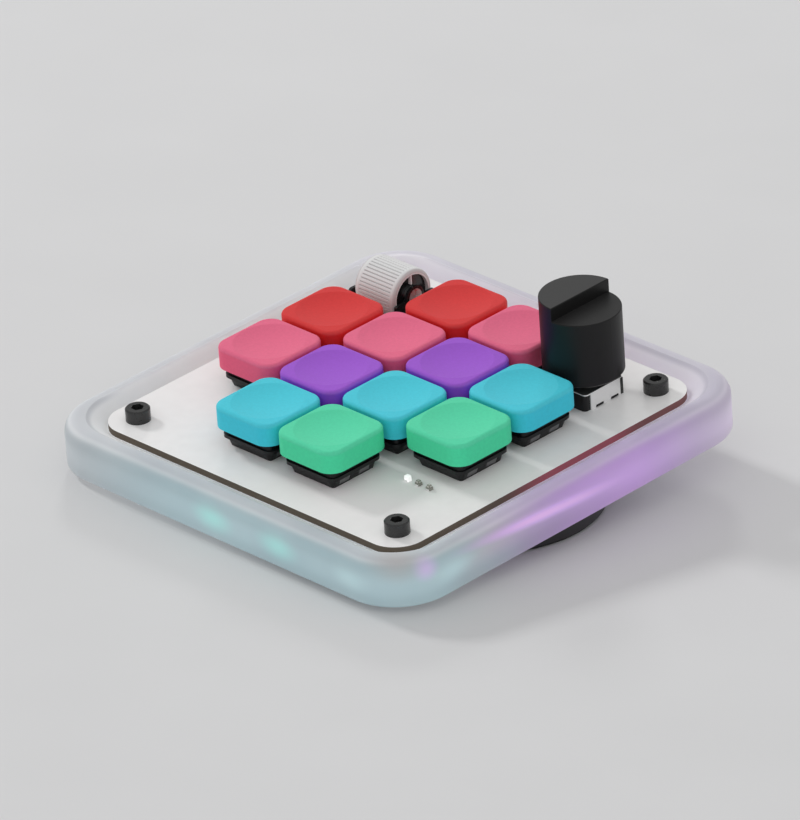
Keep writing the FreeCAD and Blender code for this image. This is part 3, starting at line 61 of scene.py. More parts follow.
def add_camera():
    """A long lens from the front right, aimed at the photograph's middle."""
    back = Vector((sin(AZIMUTH) * cos(ELEVATION), -cos(AZIMUTH) * cos(ELEVATION), sin(ELEVATION)))
    right = Vector((cos(AZIMUTH), sin(AZIMUTH), 0))
    up = back.cross(right)
    data = bpy.data.cameras.new("camera")
    data.lens = LENS
    data.sensor_width = SENSOR
    data.clip_end = 100
    camera = bpy.data.objects.new("camera", data)
    turn = Matrix((right, up, back)).transposed().to_4x4()
    aim = BOARD_MIDDLE + right * AIM_RIGHT + up * AIM_UP
    camera.matrix_world = Matrix.Translation(aim + back * DISTANCE) @ turn
    bpy.context.collection.objects.link(camera)
    bpy.context.scene.camera = camera


def add_lights():
    """An even pale world, soft lamps on the left and behind, and a wide weak one in front."""
    world = bpy.data.worlds.new("studio")
    world.use_nodes = True
    bpy.context.scene.world = world
    background = world.node_tree.nodes["Background"]
    background.inputs["Color"].default_value = (1, 1, 1, 1)
    background.inputs["Strength"].default_value = WORLD_LIGHT
    for name, round_x, height, width, power in LAMPS:
        data = bpy.data.lights.new(name, "AREA")
        data.energy = power
        data.size = width
        lamp = bpy.data.objects.new(name, data)
        turn = radians(round_x)
        rise = radians(height)
        direction = Vector((cos(turn) * cos(rise), sin(turn) * cos(rise), sin(rise)))
        lamp.location = direction * LAMP_DISTANCE
        lamp.rotation_euler = direction.to_track_quat("Z", "Y").to_euler()
        # Left out of reflections, where it would glare on the board at this low angle
        lamp.visible_glossy = False
        bpy.context.collection.objects.link(lamp)


def add_floor():
    """A wide pale floor that takes the shadow."""
    half = FLOOR_SIZE / 2
    corners = [(-half, -half, 0), (half, -half, 0), (half, half, 0), (-half, half, 0)]
    mesh = bpy.data.meshes.new("floor")
    mesh.from_pydata(corners, [], [(0, 1, 2, 3)])
    floor = bpy.data.objects.new("floor", mesh)
    bpy.context.collection.objects.link(floor)
    paint = Paint("floor", FLOOR_COLOUR, roughness=0.9)
    paint.speckle(size=40 * MM, amount=0.01)
    mesh.materials.append(paint.material)


class Paint:
    """A Principled material with helpers for grain and colour variation in the row frame."""

    def __init__(self, name, colour, roughness=0.5, **sockets):
        self.material = bpy.data.materials.new(name)
        self.material.use_nodes = True
        self.tree = self.material.node_tree
        self.shader = self.tree.nodes["Principled BSDF"]
        self.colour = colour
        self.shader.inputs["Base Color"].default_value = (*colour, 1)
        self.shader.inputs["Roughness"].default_value = roughness
        for socket, value in sockets.items():
            self.shader.inputs[socket.replace("_", " ")].default_value = value
        self.normal = None
        self.place = self.add("ShaderNodeTexCoord").outputs["Object"]
        self.tray = self.tray_place()

    def add(self, kind, **settings):
        node = self.tree.nodes.new(kind)
        for name, value in settings.items():
            setattr(node, name, value)
        return node

    def link(self, source, target):
        self.tree.links.new(source, target)

    def tint(self, colour):
        """Use a colour output as the base colour."""
        self.link(colour, self.shader.inputs["Base Color"])
        return self

    def tray_place(self):
        """The place in the tray's own frame, in millimetres from the middle of the board's top."""
        node = self.add("ShaderNodeMapping")
        node.inputs["Scale"].default_value = (1 / MM, 1 / MM, 1 / MM)
        node.inputs["Rotation"].default_value = (-TILT, 0, 0)
        node.inputs["Location"].default_value = (0, 0, -BOARD_LEVEL)
        self.link(self.place, node.inputs["Vector"])
        return node.outputs["Vector"]

    def tray_axis(self, axis):
        node = self.add("ShaderNodeSeparateXYZ")
        self.link(self.tray, node.inputs["Vector"])
        return node.outputs[axis]

    def math(self, operation, *values):
        node = self.add("ShaderNodeMath", operation=operation)
        for socket, value in zip(node.inputs, values):
            if isinstance(value, bpy.types.NodeSocket):
                self.link(value, socket)
            else:
                socket.default_value = value
        return node.outputs["Value"]

    def product(self, first, *others):
        for other in others:
            first = self.math("MULTIPLY", first, other)
        return first

    def largest(self, first, *others):
        for other in others:
            first = self.math("MAXIMUM", first, other)
        return first

    def spot(self, middle, reach, lean=0.0):
        """1 at a point of the tray's frame, down to 0 at a reach given along each axis."""
        node = self.add("ShaderNodeMapping", vector_type="TEXTURE")
        node.inputs["Location"].default_value = middle
        node.inputs["Rotation"].default_value = (lean, 0, 0)
        node.inputs["Scale"].default_value = reach
        self.link(self.tray, node.inputs["Vector"])
        length = self.add("ShaderNodeVectorMath", operation="LENGTH")
        self.link(node.outputs["Vector"], length.inputs["Vector"])
        return self.remap(length.outputs["Value"], 1.0, 0.0, smooth=True)

    def length(self, *steps):
        """The length of the place in the tray's frame after steps of vector arithmetic."""
        vector = self.tray
        for operation, *others in steps:
            node = self.add("ShaderNodeVectorMath", operation=operation)
            self.link(vector, node.inputs[0])
            for socket, other in zip(node.inputs[1:], others):
                socket.default_value = other
            vector = node.outputs["Vector"]
        node = self.add("ShaderNodeVectorMath", operation="LENGTH")
        self.link(vector, node.inputs["Vector"])
        return node.outputs["Value"]

    def reach(self, half):
        """How far out of a square of a half width, and round its corners, a point lies in plan, in mm."""
        return self.length(("ABSOLUTE",), ("SUBTRACT", (half, half, FAR)), ("MAXIMUM", (0, 0, 0)))

    def within(self, axis, middle, half):
        """1 where a coordinate in the tray's frame is within a distance of a value."""
        return self.math("COMPARE", self.tray_axis(axis), middle, half)

    def noise(self, size, detail=2.0):
        node = self.add("ShaderNodeTexNoise")
        node.inputs["Scale"].default_value = 1 / size
        node.inputs["Detail"].default_value = detail
        self.link(self.place, node.inputs["Vector"])
        return node.outputs["Fac"]

    def remap(self, value, low, high, to_low=0.0, to_high=1.0, smooth=False):
        node = self.add("ShaderNodeMapRange", interpolation_type="SMOOTHSTEP" if smooth else "LINEAR")
        for name, number in (("From Min", low), ("From Max", high), ("To Min", to_low), ("To Max", to_high)):
            node.inputs[name].default_value = number
        self.link(value, node.inputs["Value"])
        return node.outputs["Result"]

    def blend(self, factor, first, second):
        """A colour between two colours or colour outputs."""
        node = self.add("ShaderNodeMix", data_type="RGBA")
        self.link(factor, node.inputs["Factor"])
        for name, colour in (("A", first), ("B", second)):
            socket = [item for item in node.inputs if item.name == name and item.type == "RGBA"][0]
            if isinstance(colour, bpy.types.NodeSocket):
                self.link(colour, socket)
            else:
                socket.default_value = (*colour, 1)
        return [item for item in node.outputs if item.type == "RGBA"][0]

    def multiply(self, first, second):
        """Two colours multiplied, each a colour output."""
        node = self.add("ShaderNodeVectorMath", operation="MULTIPLY")
        self.link(first, node.inputs[0])
        self.link(second, node.inputs[1])
        return node.outputs["Vector"]

    def mottle(self, colour, size, amount):
        """A colour with slight lighter and darker patches of a size."""
        light = tuple(min(1.0, part * (1 + amount)) for part in colour)
        dark = tuple(part * (1 - amount) for part in colour)
        return self.blend(self.remap(self.noise(size), *NOISE_RANGE), dark, light)

    def speckle(self, size, amount):
        return self.tint(self.mottle(self.colour, size, amount))

    def bump(self, height, depth, strength=1.0):
        """Bumps of a depth in metres, on top of those already there."""
        node = self.add("ShaderNodeBump")
        node.inputs["Strength"].default_value = strength
        node.inputs["Distance"].default_value = depth
        self.link(height, node.inputs["Height"])
        if self.normal:
            self.link(self.normal, node.inputs["Normal"])
        self.normal = node.outputs["Normal"]
        self.link(self.normal, self.shader.inputs["Normal"])
        return self

    def grain(self, size, depth, strength=1.0):
        """Fine bumps of a size and depth in metres."""
        return self.bump(self.noise(size), depth, strength)

    def polish(self, size, low, high):
        """Roughness that changes a little over the surface."""
        self.link(self.remap(self.noise(size), *NOISE_RANGE, low, high), self.shader.inputs["Roughness"])
        return self


def dress(paint, *nodes):
    """Give CAD nodes a material."""
    for name in nodes:
        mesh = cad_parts[name].data
        mesh.materials.clear()
        mesh.materials.append(paint.material)


def key_names():
    return sorted(name[len("keycap_"):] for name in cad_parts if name.startswith("keycap_"))


def key_places():
    """The name of every key, with its row and column, counted from 1."""
    return [(name, int(name[1]), int(name[3])) for name in key_names()]


KEY_COLOURS = [
    ("red", (0.70, 0.045, 0.045)),
    ("pink", (0.82, 0.155, 0.27)),
    ("purple", (0.355, 0.105, 0.655)),
    ("cyan", (0.075, 0.62, 0.75)),
    ("green", (0.10, 0.71, 0.42)),
]
# Painted side shading: the sides' colour is the top's, deeper and more saturated as the sides look in this
# light, with the weaker parts of it weaker still
SIDE_SHADING_GAIN = 1.07
SIDE_SHADING_POWER = 0.2
# Between these levels the sides' painted shading gives way to the top's colour
SIDE_SHADING_END_Z = (9.0, 9.45)
# The hollow in a keycap's top: how far out it reaches, in mm, and how deep the bump makes it look
DISH_RADIUS = 8.0
DISH_DEPTH = 0.75 * MM


def paint_keys():
    """Keycaps change colour from one diagonal row to the next, and are painted a little deeper down their
    sides as painted shading.
    """
    paints = []
    for name, colour in KEY_COLOURS:
        paint = Paint("keycap_" + name, colour, roughness=0.55, Specular_IOR_Level=0.25)
        # Painted shading: the sides deeper and more saturated than the top
        shaded_side = tuple(SIDE_SHADING_GAIN * part * (part / max(colour)) ** SIDE_SHADING_POWER for part in colour)
        top = paint.remap(paint.tray_axis("Z"), *SIDE_SHADING_END_Z)
        mottled = [paint.mottle(shade, 0.6 * MM, 0.03) for shade in (shaded_side, colour)]
        paint.tint(paint.blend(top, *mottled))
        paint.grain(0.25 * MM, 0.02 * MM, 0.3)
        # The hollow in the top, measured from the middle of whichever cell the point is in
        half = PITCH / 2
        cell = ("WRAP", (half, half, FAR), (-half, -half, -FAR))
        out = paint.length(("ADD", (half, half, 0)), cell, ("MULTIPLY", (1, 1, 0)))
        rise = paint.math("POWER", paint.remap(out, 0, DISH_RADIUS), 2)
        paint.bump(rise, DISH_DEPTH)
        paints.append(paint)
    for name, row, column in key_places():
        # The first diagonal row is r1c2 and r2c1
        dress(paints[row + column - 3], "keycap_" + name)
        dress(BLACK, "stem_" + name)


BOARD_SHEET = 1.6
# How far from the sheet's faces its cut edge begins
SHEET_MARGIN = 0.03
LACQUER = (0.89, 0.89, 0.89)
LACQUER_DARK = (0.882, 0.872, 0.868)
LACQUER_LIGHT = (0.907, 0.897, 0.893)
LACQUER_PAINTED_LIGHT = (0.955, 0.885, 0.910)
# The middle of the painted light on the board's top, a lighter and warmer pool in front of the keys, and its
# reach along each axis
PAINTED_LIGHT_SPOT = ((13, -34, 0), (29, 15, 4))
BOARD_EDGE = (0.135, 0.108, 0.083)
BOARD_EDGE_RED_GLOW = (0.40, 0.120, 0.145)
# The part of the cut edge with the tray's red glow painted on: where it begins along X and Y, and where it
# grows weaker to the rear
RED_X = (40, 46)
RED_Y = (-17, 0)
RED_REAR_Y = (18, 28)
RED_REAR_SHARE = 0.4


def paint_board():
    """White lacquer above and below, and the brown cut edge, with a painted red glow where the tray's red
    light falls on it.
    """
    paint = Paint("board_lacquer", LACQUER, roughness=0.5, Specular_IOR_Level=0.1)
    paint.grain(0.4 * MM, 0.01 * MM, 0.2)
    y = paint.tray_axis("Y")
    z = paint.tray_axis("Z")
    lacquer = paint.blend(paint.remap(paint.noise(3 * MM), *NOISE_RANGE), LACQUER_DARK, LACQUER_LIGHT)
    # Painted light: lighter and warmer in front of the keys, against the shade and the green light that the
    # keycaps throw there
    lacquer = paint.blend(paint.spot(*PAINTED_LIGHT_SPOT), lacquer, LACQUER_PAINTED_LIGHT)
    # Painted glow: where the tray's red light falls on the cut edge
    red = paint.product(
        paint.remap(paint.tray_axis("X"), *RED_X),
        paint.remap(y, *RED_Y, smooth=True),
        paint.remap(y, *RED_REAR_Y, 1.0, RED_REAR_SHARE, smooth=True),
    )
    edge = paint.blend(red, BOARD_EDGE, BOARD_EDGE_RED_GLOW)
    under_top = paint.math("LESS_THAN", z, -SHEET_MARGIN)
    over_bottom = paint.math("GREATER_THAN", z, SHEET_MARGIN - BOARD_SHEET)
    paint.tint(paint.blend(paint.product(under_top, over_bottom), lacquer, edge))
    dress(paint, "board")
    dress(Paint("small_board", (0.80, 0.80, 0.80), roughness=0.4).speckle(2 * MM, 0.02), "socket_board")


# The tray's colours: its top and slopes, its walls and crest painted darker as shade, the painted glow of the
# lamps inside by side, and patches of painted glow and painted shade
FROST_COLOUR = (0.97, 0.97, 0.98)
WALL_SHADE = (0.49, 0.50, 0.52)
CREST_SHADE = (0.58, 0.59, 0.62)
TEAL_GLOW_TINT = (0.46, 0.60, 0.64)
PURPLE_GLOW_TINT = (0.61, 0.40, 0.78)
VIOLET_GLOW_TINT = (0.77, 0.69, 0.82)
CORNER_SHADE_GREY = (0.52, 0.50, 0.50)
PURPLE_WALL_SHADE = (0.30, 0.27, 0.38)
BLUE_GREY_WALL_SHADE = (0.40, 0.50, 0.55)
GLOW_TEAL = (0.42, 0.74, 0.72)
GLOW_PINK = (0.85, 0.56, 1.0)
GLOW_PALE = (0.62, 0.84, 0.86)
CLOUD_DARK = (0.93, 0.94, 0.95)
CLOUD_LIGHT = (1.0, 1.0, 1.0)
CLOUD_RANGE = (0.32, 0.68)
# The tray in plan: half the square inside its round corners, and its wall's distance from the middle
CORNER_HALF = 41.1
FACE = 54.6
# Where each colour begins and is full, in mm, along the axis in the name, or out of that square
WALL_Z = (1.0, -4.0)
WALL_OUT = (11.8, 13.4)
FRONT_Y = (-24, -42)
FRONT_X = (-55, -5)
RIGHT_X = (36, 52)
RIGHT_Y = (-40, -6)
RIGHT_REAR_Y = (50, 14)
REAR_Y = (30, 52)
REAR_Z = (1.4, -6.0)
CREST_Z = (0.4, 1.25)
CREST_X = (-52, -20)
CREST_OUT = (8.8, 10.2)
CREST_WIDE_X = (-30, 20)
CREST_WIDE_Y = (-32, -42)
# What is left of a colour at the weak end: at the left, on the top, at the rear
FRONT_LEFT_SHARE = 0.15
FRONT_TOP_SHARE = 0.24
RIGHT_TOP_SHARE = 0.5
RIGHT_REAR_SHARE = 0.15
REAR_TOP_SHARE = 0.3
CREST_LEFT_SHARE = 0.72
# How much further back the painted purple glow begins on the wall than on the top
WALL_SHIFT = 6
# Patches of painted light, in the order of painting: a grey painted shade on the front corner, the lamps'
# teal, pale and pink painted glow, and purple and blue-grey painted shade low on the right wall. Each spot
# has its middle, its reach along each axis, its lean about X in degrees and its strength.
PATCHES = [
    ("smoke", CORNER_SHADE_GREY, [((49.0, -49.5, 1.2), (9, 7, 6), 0, 0.8)]),
    ("teal", GLOW_TEAL, [((-1.1, -FACE, -4.2), (8, 9, 4.4), 0, 1), ((18.5, -FACE, -4.2), (8, 9, 4.4), 0, 1)]),
    ("pale", GLOW_PALE, [((40, -FACE, -4.2), (7, 9, 4), 0, 0.45), ((FACE, -38, -3.6), (9, 8, 4.2), 0, 0.45)]),
    ("purple_shade", PURPLE_WALL_SHADE, [((FACE, -10, -6.6), (9, 30, 6), 0, 0.5)]),
    ("blue_grey_shade", BLUE_GREY_WALL_SHADE, [((FACE, -28, -7.6), (9, 16, 4), 0, 0.6)]),
    (
        "pink",
        GLOW_PINK,
        [((FACE, -12, -2.6), (9, 30, 2.2), -4.3, 1), ((54, -45.5, -0.8), (4, 4, 4), 0, 0.55)],
    ),
]
# The walls' painted glow, an emission that stands in for the lamps inside: its strength at the lower and the
# upper level, and what the spots add
SHINE_Z = (-8.5, -5.0)
SHINE_LOW = 0.11
SHINE_HIGH = 0.20
SPOT_SHINE = 0.05
# Painted glow out of the underside, which lightens the floor's shadow at the front left: its middle and
# reach, the levels and the strength
UNDER_SPOT = ((-30, -50, -9.3), (60, 26, 2))
UNDER_Z = (-9.0, -9.2)
UNDER_SHINE = 0.16


def paint_tray():
    """Frosted plastic with painted light: the lamps' glow painted teal in front and purple on the right and
    behind, painted shade on the walls, the crest and in patches, and a painted emission glow.
    """
    paint = Paint(
        "frosted_case",
        FROST_COLOUR,
        roughness=0.45,
        Transmission_Weight=0.15,
        Subsurface_Weight=0.8,
        Subsurface_Scale=4 * MM,
        Subsurface_Radius=(1, 1, 1),
    )
    paint.grain(0.25 * MM, 0.01 * MM, 0.25)
    x = paint.tray_axis("X")
    y = paint.tray_axis("Y")
    z = paint.tray_axis("Z")
    out = paint.reach(CORNER_HALF)
    outer = paint.remap(out, *WALL_OUT, smooth=True)
    # Painted teal glow of the lamps inside, in front and round the front corner, weaker at the left end
    front = paint.product(
        paint.remap(y, *FRONT_Y, smooth=True),
        paint.remap(x, *FRONT_X, FRONT_LEFT_SHARE, smooth=True),
        paint.remap(outer, 0, 1, FRONT_TOP_SHARE),
    )
    behind = paint.math("SUBTRACT", y, paint.product(outer, WALL_SHIFT))
    right = paint.product(
        paint.remap(x, *RIGHT_X, smooth=True),
        paint.remap(behind, *RIGHT_Y, smooth=True),
        paint.remap(y, *RIGHT_REAR_Y, RIGHT_REAR_SHARE, smooth=True),
        paint.remap(outer, 0, 1, RIGHT_TOP_SHARE),
    )
    rear = paint.product(paint.remap(y, *REAR_Y, smooth=True), paint.remap(z, *REAR_Z, REAR_TOP_SHARE))
    # At the left the crest's shade keeps to the outer side, because the slope there has its own
    wide = paint.largest(
        paint.remap(out, *CREST_OUT, smooth=True),
        paint.remap(x, *CREST_WIDE_X, smooth=True),
        paint.remap(y, *CREST_WIDE_Y, smooth=True),
    )
    crest = paint.product(
        paint.remap(z, *CREST_Z, smooth=True),
        paint.remap(x, *CREST_X, CREST_LEFT_SHARE),
        wide,
    )
    # Painted shade along the crest, weaker at the left end
    colour = paint.blend(crest, FROST_COLOUR, CREST_SHADE)
    # Painted shade on the walls, then the painted glow of the lamps inside on the front, rear and right
    layers = ((outer, WALL_SHADE), (front, TEAL_GLOW_TINT), (rear, VIOLET_GLOW_TINT), (right, PURPLE_GLOW_TINT))
    for mask, shade in layers:
        colour = paint.blend(mask, colour, shade)
    # Painted glow and painted shade, patch by patch
    patches = {}
    for name, shade, spots in PATCHES:
        masks = [
            paint.product(paint.spot(middle, reach, radians(lean)), strength)
            for middle, reach, lean, strength in spots
        ]
        patches[name] = paint.largest(*masks)
        colour = paint.blend(patches[name], colour, shade)
    # Cloudy patches, as of light scattered inside
    cloud = paint.blend(paint.remap(paint.noise(16 * MM, 1.0), *CLOUD_RANGE), CLOUD_DARK, CLOUD_LIGHT)
    colour = paint.multiply(colour, cloud)
    paint.tint(colour)
    # Painted glow: the tray's colour also shines out as emission
    paint.link(colour, paint.shader.inputs["Emission Color"])
    wall = paint.remap(z, *WALL_Z, smooth=True)
    shine = paint.product(wall, paint.remap(z, *SHINE_Z, SHINE_LOW, SHINE_HIGH, smooth=True))
    # Painted glow out of the underside, into the floor's shadow at the front left
    below = paint.product(paint.spot(*UNDER_SPOT), paint.remap(z, *UNDER_Z, 0, UNDER_SHINE))
    # The teal and pink spots glow a little more
    bright = paint.product(paint.largest(patches["teal"], patches["pink"]), SPOT_SHINE)
    shine = paint.math("ADD", paint.math("ADD", shine, below), bright)
    paint.link(shine, paint.shader.inputs["Emission Strength"])
    dress(paint, "case_frame", "bottom_plate")


ROLLER_WHITE = (0.76, 0.76, 0.76)
ROLLER_GROOVE_SHADE = (0.58, 0.565, 0.565)
# Out from the roller's axis: its level, the sides of the ribs, and the bore
ROLLER_LEVEL = 7.1
RIB_SIDE = (5.84, 6.04)
BORE = 5.2


def paint_roller():
    """Off-white, with painted shade down in the grooves between the ribs."""
    paint = Paint("roller_white", ROLLER_WHITE, roughness=0.5).grain(0.3 * MM, 0.01 * MM, 0.3)
    out = paint.length(("SUBTRACT", (0, 1.5 * PITCH, ROLLER_LEVEL)), ("MULTIPLY", (0, 1, 1)))
    ridge = paint.remap(out, *RIB_SIDE, smooth=True)
    inside = paint.math("LESS_THAN", out, BORE)
    # Painted shade: darker in the grooves, white on the ribs and in the bore
    paint.tint(paint.blend(paint.largest(ridge, inside), ROLLER_GROOVE_SHADE, ROLLER_WHITE))
    dress(paint, "roller")


KNOB_BLACK = (0.006, 0.006, 0.006)
KNOB_TOP_SHEEN = (0.044, 0.044, 0.044)
KNOB_STEP_SHEEN = (0.020, 0.020, 0.020)
# The levels of the knob's upper half-moon and of the step before it, and a margin for both
KNOB_TOP_Z = 24.45
KNOB_STEP_Z = 21.35
LEVEL_MARGIN = 0.03


def paint_knob():
    """Black, with a painted sheen: its two level tops lighter, where they face the light."""
    paint = Paint("knob_black", KNOB_BLACK, roughness=0.45, Specular_IOR_Level=0.3)
    paint.grain(0.15 * MM, 0.01 * MM, 0.4)
    colour = KNOB_BLACK
    # Painted sheen on the two level tops
    for level, shade in ((KNOB_TOP_Z, KNOB_TOP_SHEEN), (KNOB_STEP_Z, KNOB_STEP_SHEEN)):
        colour = paint.blend(paint.within("Z", level, LEVEL_MARGIN), colour, shade)
    paint.tint(colour)
    dress(paint, "knob")


TIN = (0.92, 0.92, 0.92)
COVER_TOP_SHADE = (0.10, 0.10, 0.10)
# Between these levels the cover's sheet edge becomes its top, painted dark as the knob's shade
COVER_TOP_Z = (4.06, 4.09)


def paint_cover():
    """Bright tinned legs and sheet edge, over them a top painted dark as the knob's shade round the bushing.
    """
    paint = Paint("encoder_tin", TIN, roughness=0.4, Metallic=0.4).polish(1 * MM, 0.35, 0.45)
    paint.grain(0.3 * MM, 0.01 * MM, 0.2)
    top = paint.remap(paint.tray_axis("Z"), *COVER_TOP_Z)
    # Painted shade: the top dark, as in the knob's shadow
    paint.tint(paint.blend(top, TIN, COVER_TOP_SHADE))
    dress(paint, "encoder_cover")


BARE_STEEL = (0.62, 0.62, 0.62)
TONGUE_BLACK = (0.02, 0.02, 0.02)
CONTACT_GOLD = (0.75, 0.55, 0.22)
# The socket's tongue and the field of its contact strips: axis, middle and half width
TONGUE = (("X", 0, 3.34), ("Y", 49.1, 2.3), ("Z", -4.7, 0.36))
STRIPS = (("X", 0, 3.0), ("Y", 49.3, 1.6))
STRIP_PITCH = 0.5
STRIP_HALF = 0.13


def paint_socket():
    """Steel shell, and inside it a black tongue with gold contacts above and below."""
    paint = Paint("socket_steel", BARE_STEEL, roughness=0.3).polish(1 * MM, 0.25, 0.4)
    tongue = paint.product(*[paint.within(*side) for side in TONGUE])
    along = paint.math("PINGPONG", paint.tray_axis("X"), STRIP_PITCH / 2)
    field = [paint.within(*side) for side in STRIPS]
    strip = paint.product(paint.math("LESS_THAN", along, STRIP_HALF), *field)
    inside = paint.blend(strip, TONGUE_BLACK, CONTACT_GOLD)
    paint.tint(paint.blend(tongue, BARE_STEEL, inside))
    metal = paint.largest(paint.math("SUBTRACT", 1.0, tongue), strip)
    paint.link(metal, paint.shader.inputs["Metallic"])
    dress(paint, "cable_socket")


def block(piece, low, high, slot=0, lean=0.0):
    """A block in the tray's frame, in mm, whose +X side leans out by a distance towards its top."""
    corners = []
    for z in (low[2], high[2]):
        right = high[0] + lean if z == high[2] else high[0]
        corners += [(low[0], low[1], z), (right, low[1], z), (right, high[1], z), (low[0], high[1], z)]
    points = [piece.verts.new(corner) for corner in corners]
    faces = []
    for order in ((3, 2, 1, 0), (4, 5, 6, 7), (0, 1, 5, 4), (1, 2, 6, 5), (2, 3, 7, 6), (3, 0, 4, 7)):
        face = piece.faces.new([points[index] for index in order])
        face.material_index = slot
        faces.append(face)
    return faces


def bevel(piece, faces, width, segments):
    """Round the edges of faces."""
    edges = list({edge for face in faces for edge in face.edges})
    bmesh.ops.bevel(piece, geom=edges, offset=width, segments=segments, affect="EDGES", profile=0.5)


def finish_piece(name, piece, *paints):
    """Turn a bmesh in the tray's frame into an object that rides on the tray."""
    mesh = bpy.data.meshes.new(name)
    piece.to_mesh(mesh)
    piece.free()
    mesh.transform(TRAY)
    for paint in paints:
        mesh.materials.append(paint.material)
    made = bpy.data.objects.new(name, mesh)
    bpy.context.collection.objects.link(made)
    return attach(made, "tray")


# Window notch of a switch: along Y from the switch's middle, up from the board, and out from the middle
NOTCH_NEAR = 1.32
NOTCH_FAR = 4.48
NOTCH_LOW = 0.22
NOTCH_HIGH = 2.18
NOTCH_BACK = 5.6
NOTCH_FRONT = 6.06
NOTCH_LEAN = 0.71
# The window's raised frame: how wide it is, and how far the pane lies behind it
PANE_FRAME = 0.18
PANE_DEPTH = 0.14
# The bright leaf, from the notch's lower inner corner and from its upper outer one
LEAF_FROM = Vector((0.3, 1.1, 0.45))
LEAF_TO = Vector((-0.05, 1.5, -0.4))
LEAF_LEAN = 0.65 * NOTCH_LEAN


def add_windows():
    """Smoky clear panels with a raised frame and a bright leaf, in the notches of every switch."""
    piece = bmesh.new()
    for _, row, column in key_places():
        x = (column - 2.5) * PITCH
        y = (2.5 - row) * PITCH
        for near, far in ((NOTCH_NEAR, NOTCH_FAR), (-NOTCH_FAR, -NOTCH_NEAR)):
            low = Vector((x + NOTCH_BACK, y + near, NOTCH_LOW))
            high = Vector((x + NOTCH_FRONT, y + far, NOTCH_HIGH))
            front = block(piece, low, high, lean=NOTCH_LEAN)[3]
            bmesh.ops.inset_region(piece, faces=[front], thickness=PANE_FRAME, depth=-PANE_DEPTH)
            top = Vector((high.x, low.y, high.z))
            block(piece, low + LEAF_FROM, top + LEAF_TO, slot=1, lean=LEAF_LEAN)
    smoke = Paint("smoke_clear", (0.14, 0.14, 0.145), roughness=0.12, Specular_IOR_Level=0.7)
    smoke.polish(0.5 * MM, 0.08, 0.2).grain(0.5 * MM, 0.01 * MM, 0.3)
    finish_piece("switch_windows", piece, smoke, STEEL)


# Encoder's black plastic that shows past the cover's legs, from the encoder's middle
COVER_SIDE = 5.85
TRIM_DEPTH = 0.25
TRIM_PROUD = 0.07
FOOT_MIDDLES = (-1.6, 3.0)
FOOT_HALF = 1.1
FOOT_LOW = 0.14
FOOT_TOP = 0.62
CORNER_NEAR = 4.85
CORNER_FAR = 5.68
CORNER_LOW = 0.06
CORNER_TOP = 3.9


def add_encoder_trim():
    """Black feet in the notches of the cover's legs, and the black corners behind the legs."""
    piece = bmesh.new()
    middle = 1.5 * PITCH
    for side in (-1, 1):
        inner = middle + side * (COVER_SIDE - TRIM_DEPTH)
        outer = middle + side * (COVER_SIDE + TRIM_PROUD)
        left, right = sorted((inner, outer))
        for along in FOOT_MIDDLES:
            low = (left, middle + along - FOOT_HALF, FOOT_LOW)
            high = (right, middle + along + FOOT_HALF, FOOT_TOP)
            bevel(piece, block(piece, low, high), width=0.03, segments=1)
        low = (left, middle + CORNER_NEAR, CORNER_LOW)
        high = (right, middle + CORNER_FAR, CORNER_TOP)
        bevel(piece, block(piece, low, high, slot=1), width=0.05, segments=2)
    finish_piece("encoder_trim", piece, SWITCH, BLACK)


# Small lamps in front of the keys, in mm: along X from the encoder's middle, half lengths, and levels
LAMP_PITCH = 3.2
LAMP_Y = -22.2
LAMP_HALF = 0.64
LAMP_BODY_HALF = 0.53
LAMP_BODY_TOP = 0.7
LAMP_END_HALF = 0.5
LAMP_END_TOP = 0.4
LENS_LOW = 0.5
LENS_TOP = 1.2
LENS_HALF = 0.46
LIT_LENS_HALF = 0.62
# A lens is a little shorter along Y
LENS_SHARE = 0.9


def add_status_lamps():
    """Three small lamps: a moulded body between two tinned ends, with a clear lens; the first is lit."""
    lit = Paint(
        "lamp_lit",
        (0.95, 0.95, 0.95),
        roughness=0.3,
        Emission_Color=(1, 1, 1, 1),
        Emission_Strength=0.45,
    ).speckle(0.4 * MM, 0.02)
    grey = Paint("lamp_grey", (0.28, 0.28, 0.245), roughness=0.4).speckle(0.3 * MM, 0.08)
    lens = Paint("lamp_lens", (0.64, 0.64, 0.60), roughness=0.2).polish(0.3 * MM, 0.15, 0.3)
    for number in (1, 2, 3):
        x = 1.5 * PITCH + (number - 2) * LAMP_PITCH
        piece = bmesh.new()
        low = (x - LAMP_HALF, LAMP_Y - LAMP_BODY_HALF, 0.0)
        high = (x + LAMP_HALF, LAMP_Y + LAMP_BODY_HALF, LAMP_BODY_TOP)
        body = block(piece, low, high)
        for side in (-1, 1):
            near, far = sorted((LAMP_Y + side * LAMP_BODY_HALF, LAMP_Y + side * LAMP_HALF))
            low = (x - LAMP_END_HALF, near, 0.0)
            high = (x + LAMP_END_HALF, far, LAMP_END_TOP)
            body += block(piece, low, high, slot=1)
        bevel(piece, body, width=0.04, segments=1)
        half = LIT_LENS_HALF if number == 1 else LENS_HALF
        low = (x - half, LAMP_Y - half * LENS_SHARE, LENS_LOW)
        high = (x + half, LAMP_Y + half * LENS_SHARE, LENS_TOP)
        bevel(piece, block(piece, low, high, slot=2), width=0.18, segments=4)
        paints = (lit, TINNED, lit) if number == 1 else (grey, TINNED, lens)
        made = finish_piece("status_lamp_%d" % number, piece, *paints)
        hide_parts("status_led_%d" % number)


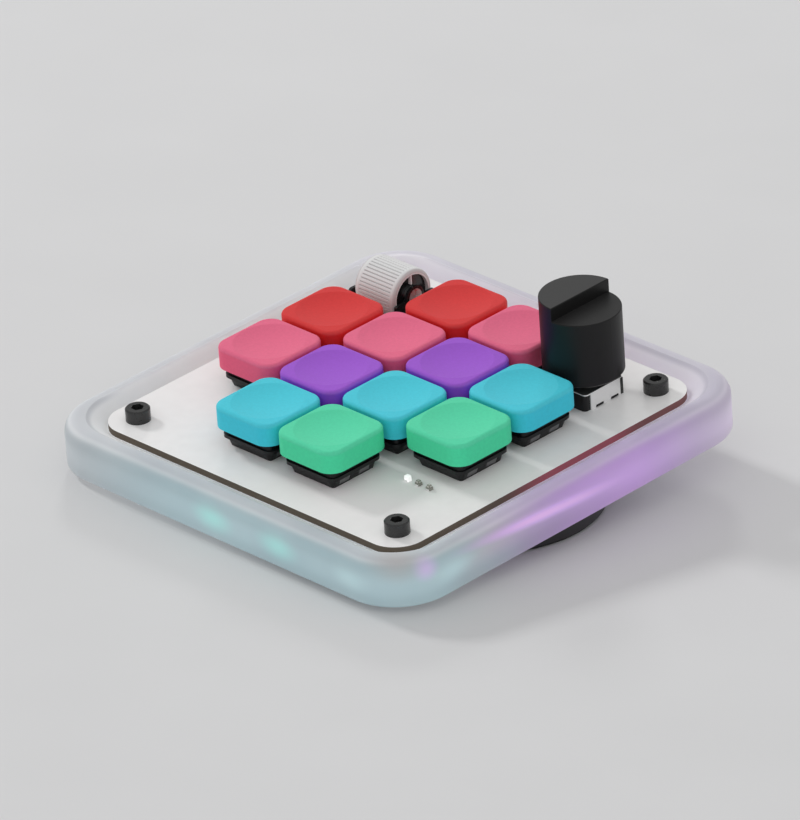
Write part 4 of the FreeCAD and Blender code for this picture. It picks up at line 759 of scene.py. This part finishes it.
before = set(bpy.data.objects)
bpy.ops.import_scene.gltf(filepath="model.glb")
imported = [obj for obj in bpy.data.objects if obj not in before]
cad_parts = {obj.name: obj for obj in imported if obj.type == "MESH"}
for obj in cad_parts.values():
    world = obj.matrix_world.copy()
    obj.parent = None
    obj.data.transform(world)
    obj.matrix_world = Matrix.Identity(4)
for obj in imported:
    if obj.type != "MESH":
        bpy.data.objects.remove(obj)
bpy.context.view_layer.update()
add_camera()
add_lights()
add_floor()
BLACK = Paint("black_plastic", (0.022, 0.022, 0.023), roughness=0.35).grain(0.2 * MM, 0.01 * MM, 0.3)
GLOSS = Paint("black_gloss", (0.012, 0.012, 0.013), roughness=0.18).polish(2 * MM, 0.15, 0.25)
STEEL = Paint("bright_steel", BARE_STEEL, roughness=0.3, Metallic=1.0).polish(1 * MM, 0.25, 0.4)
OXIDE = Paint("black_steel", (0.05, 0.05, 0.05), roughness=0.3, Metallic=0.6).polish(1 * MM, 0.22, 0.38)
TINNED = Paint("tinned_steel", TIN, roughness=0.4, Metallic=0.4).polish(1 * MM, 0.35, 0.45)
BRASS = Paint("brass", (0.70, 0.52, 0.25), roughness=0.35, Metallic=1.0).polish(1 * MM, 0.3, 0.45)
SWITCH = Paint("switch_black", (0.010, 0.010, 0.011), roughness=0.4, Specular_IOR_Level=0.3)
SWITCH.grain(0.2 * MM, 0.01 * MM, 0.3)
RUBBER = Paint("black_rubber", (0.02, 0.02, 0.02), roughness=0.8).grain(0.3 * MM, 0.03 * MM, 0.4)
LAMP = Paint("lamp", (0.85, 0.85, 0.80), roughness=0.3).speckle(0.5 * MM, 0.03)

paint_keys()
paint_board()
paint_tray()
paint_roller()
paint_knob()
paint_cover()
paint_socket()
dress(OXIDE, "case_screws", "bottom_screws", "foot_screws")
dress(BRASS, "case_inserts", "switch_pins")
dress(SWITCH, "switch_bases", "switch_covers", "encoder_body")
dress(BLACK, "foot_wedge", "encoder_plunger", "controller_chip", "board_link")
dress(RUBBER, "foot_sole")
dress(STEEL, "encoder_shaft", "switch_springs", "roller_axle")
dress(GLOSS, "roller_frame", "roller_core")
dress(LAMP, "glow_leds", "status_led_1", "status_led_2", "status_led_3")
add_windows()
add_encoder_trim()
add_status_lamps()

bpy.context.scene.view_settings.view_transform = "Standard"
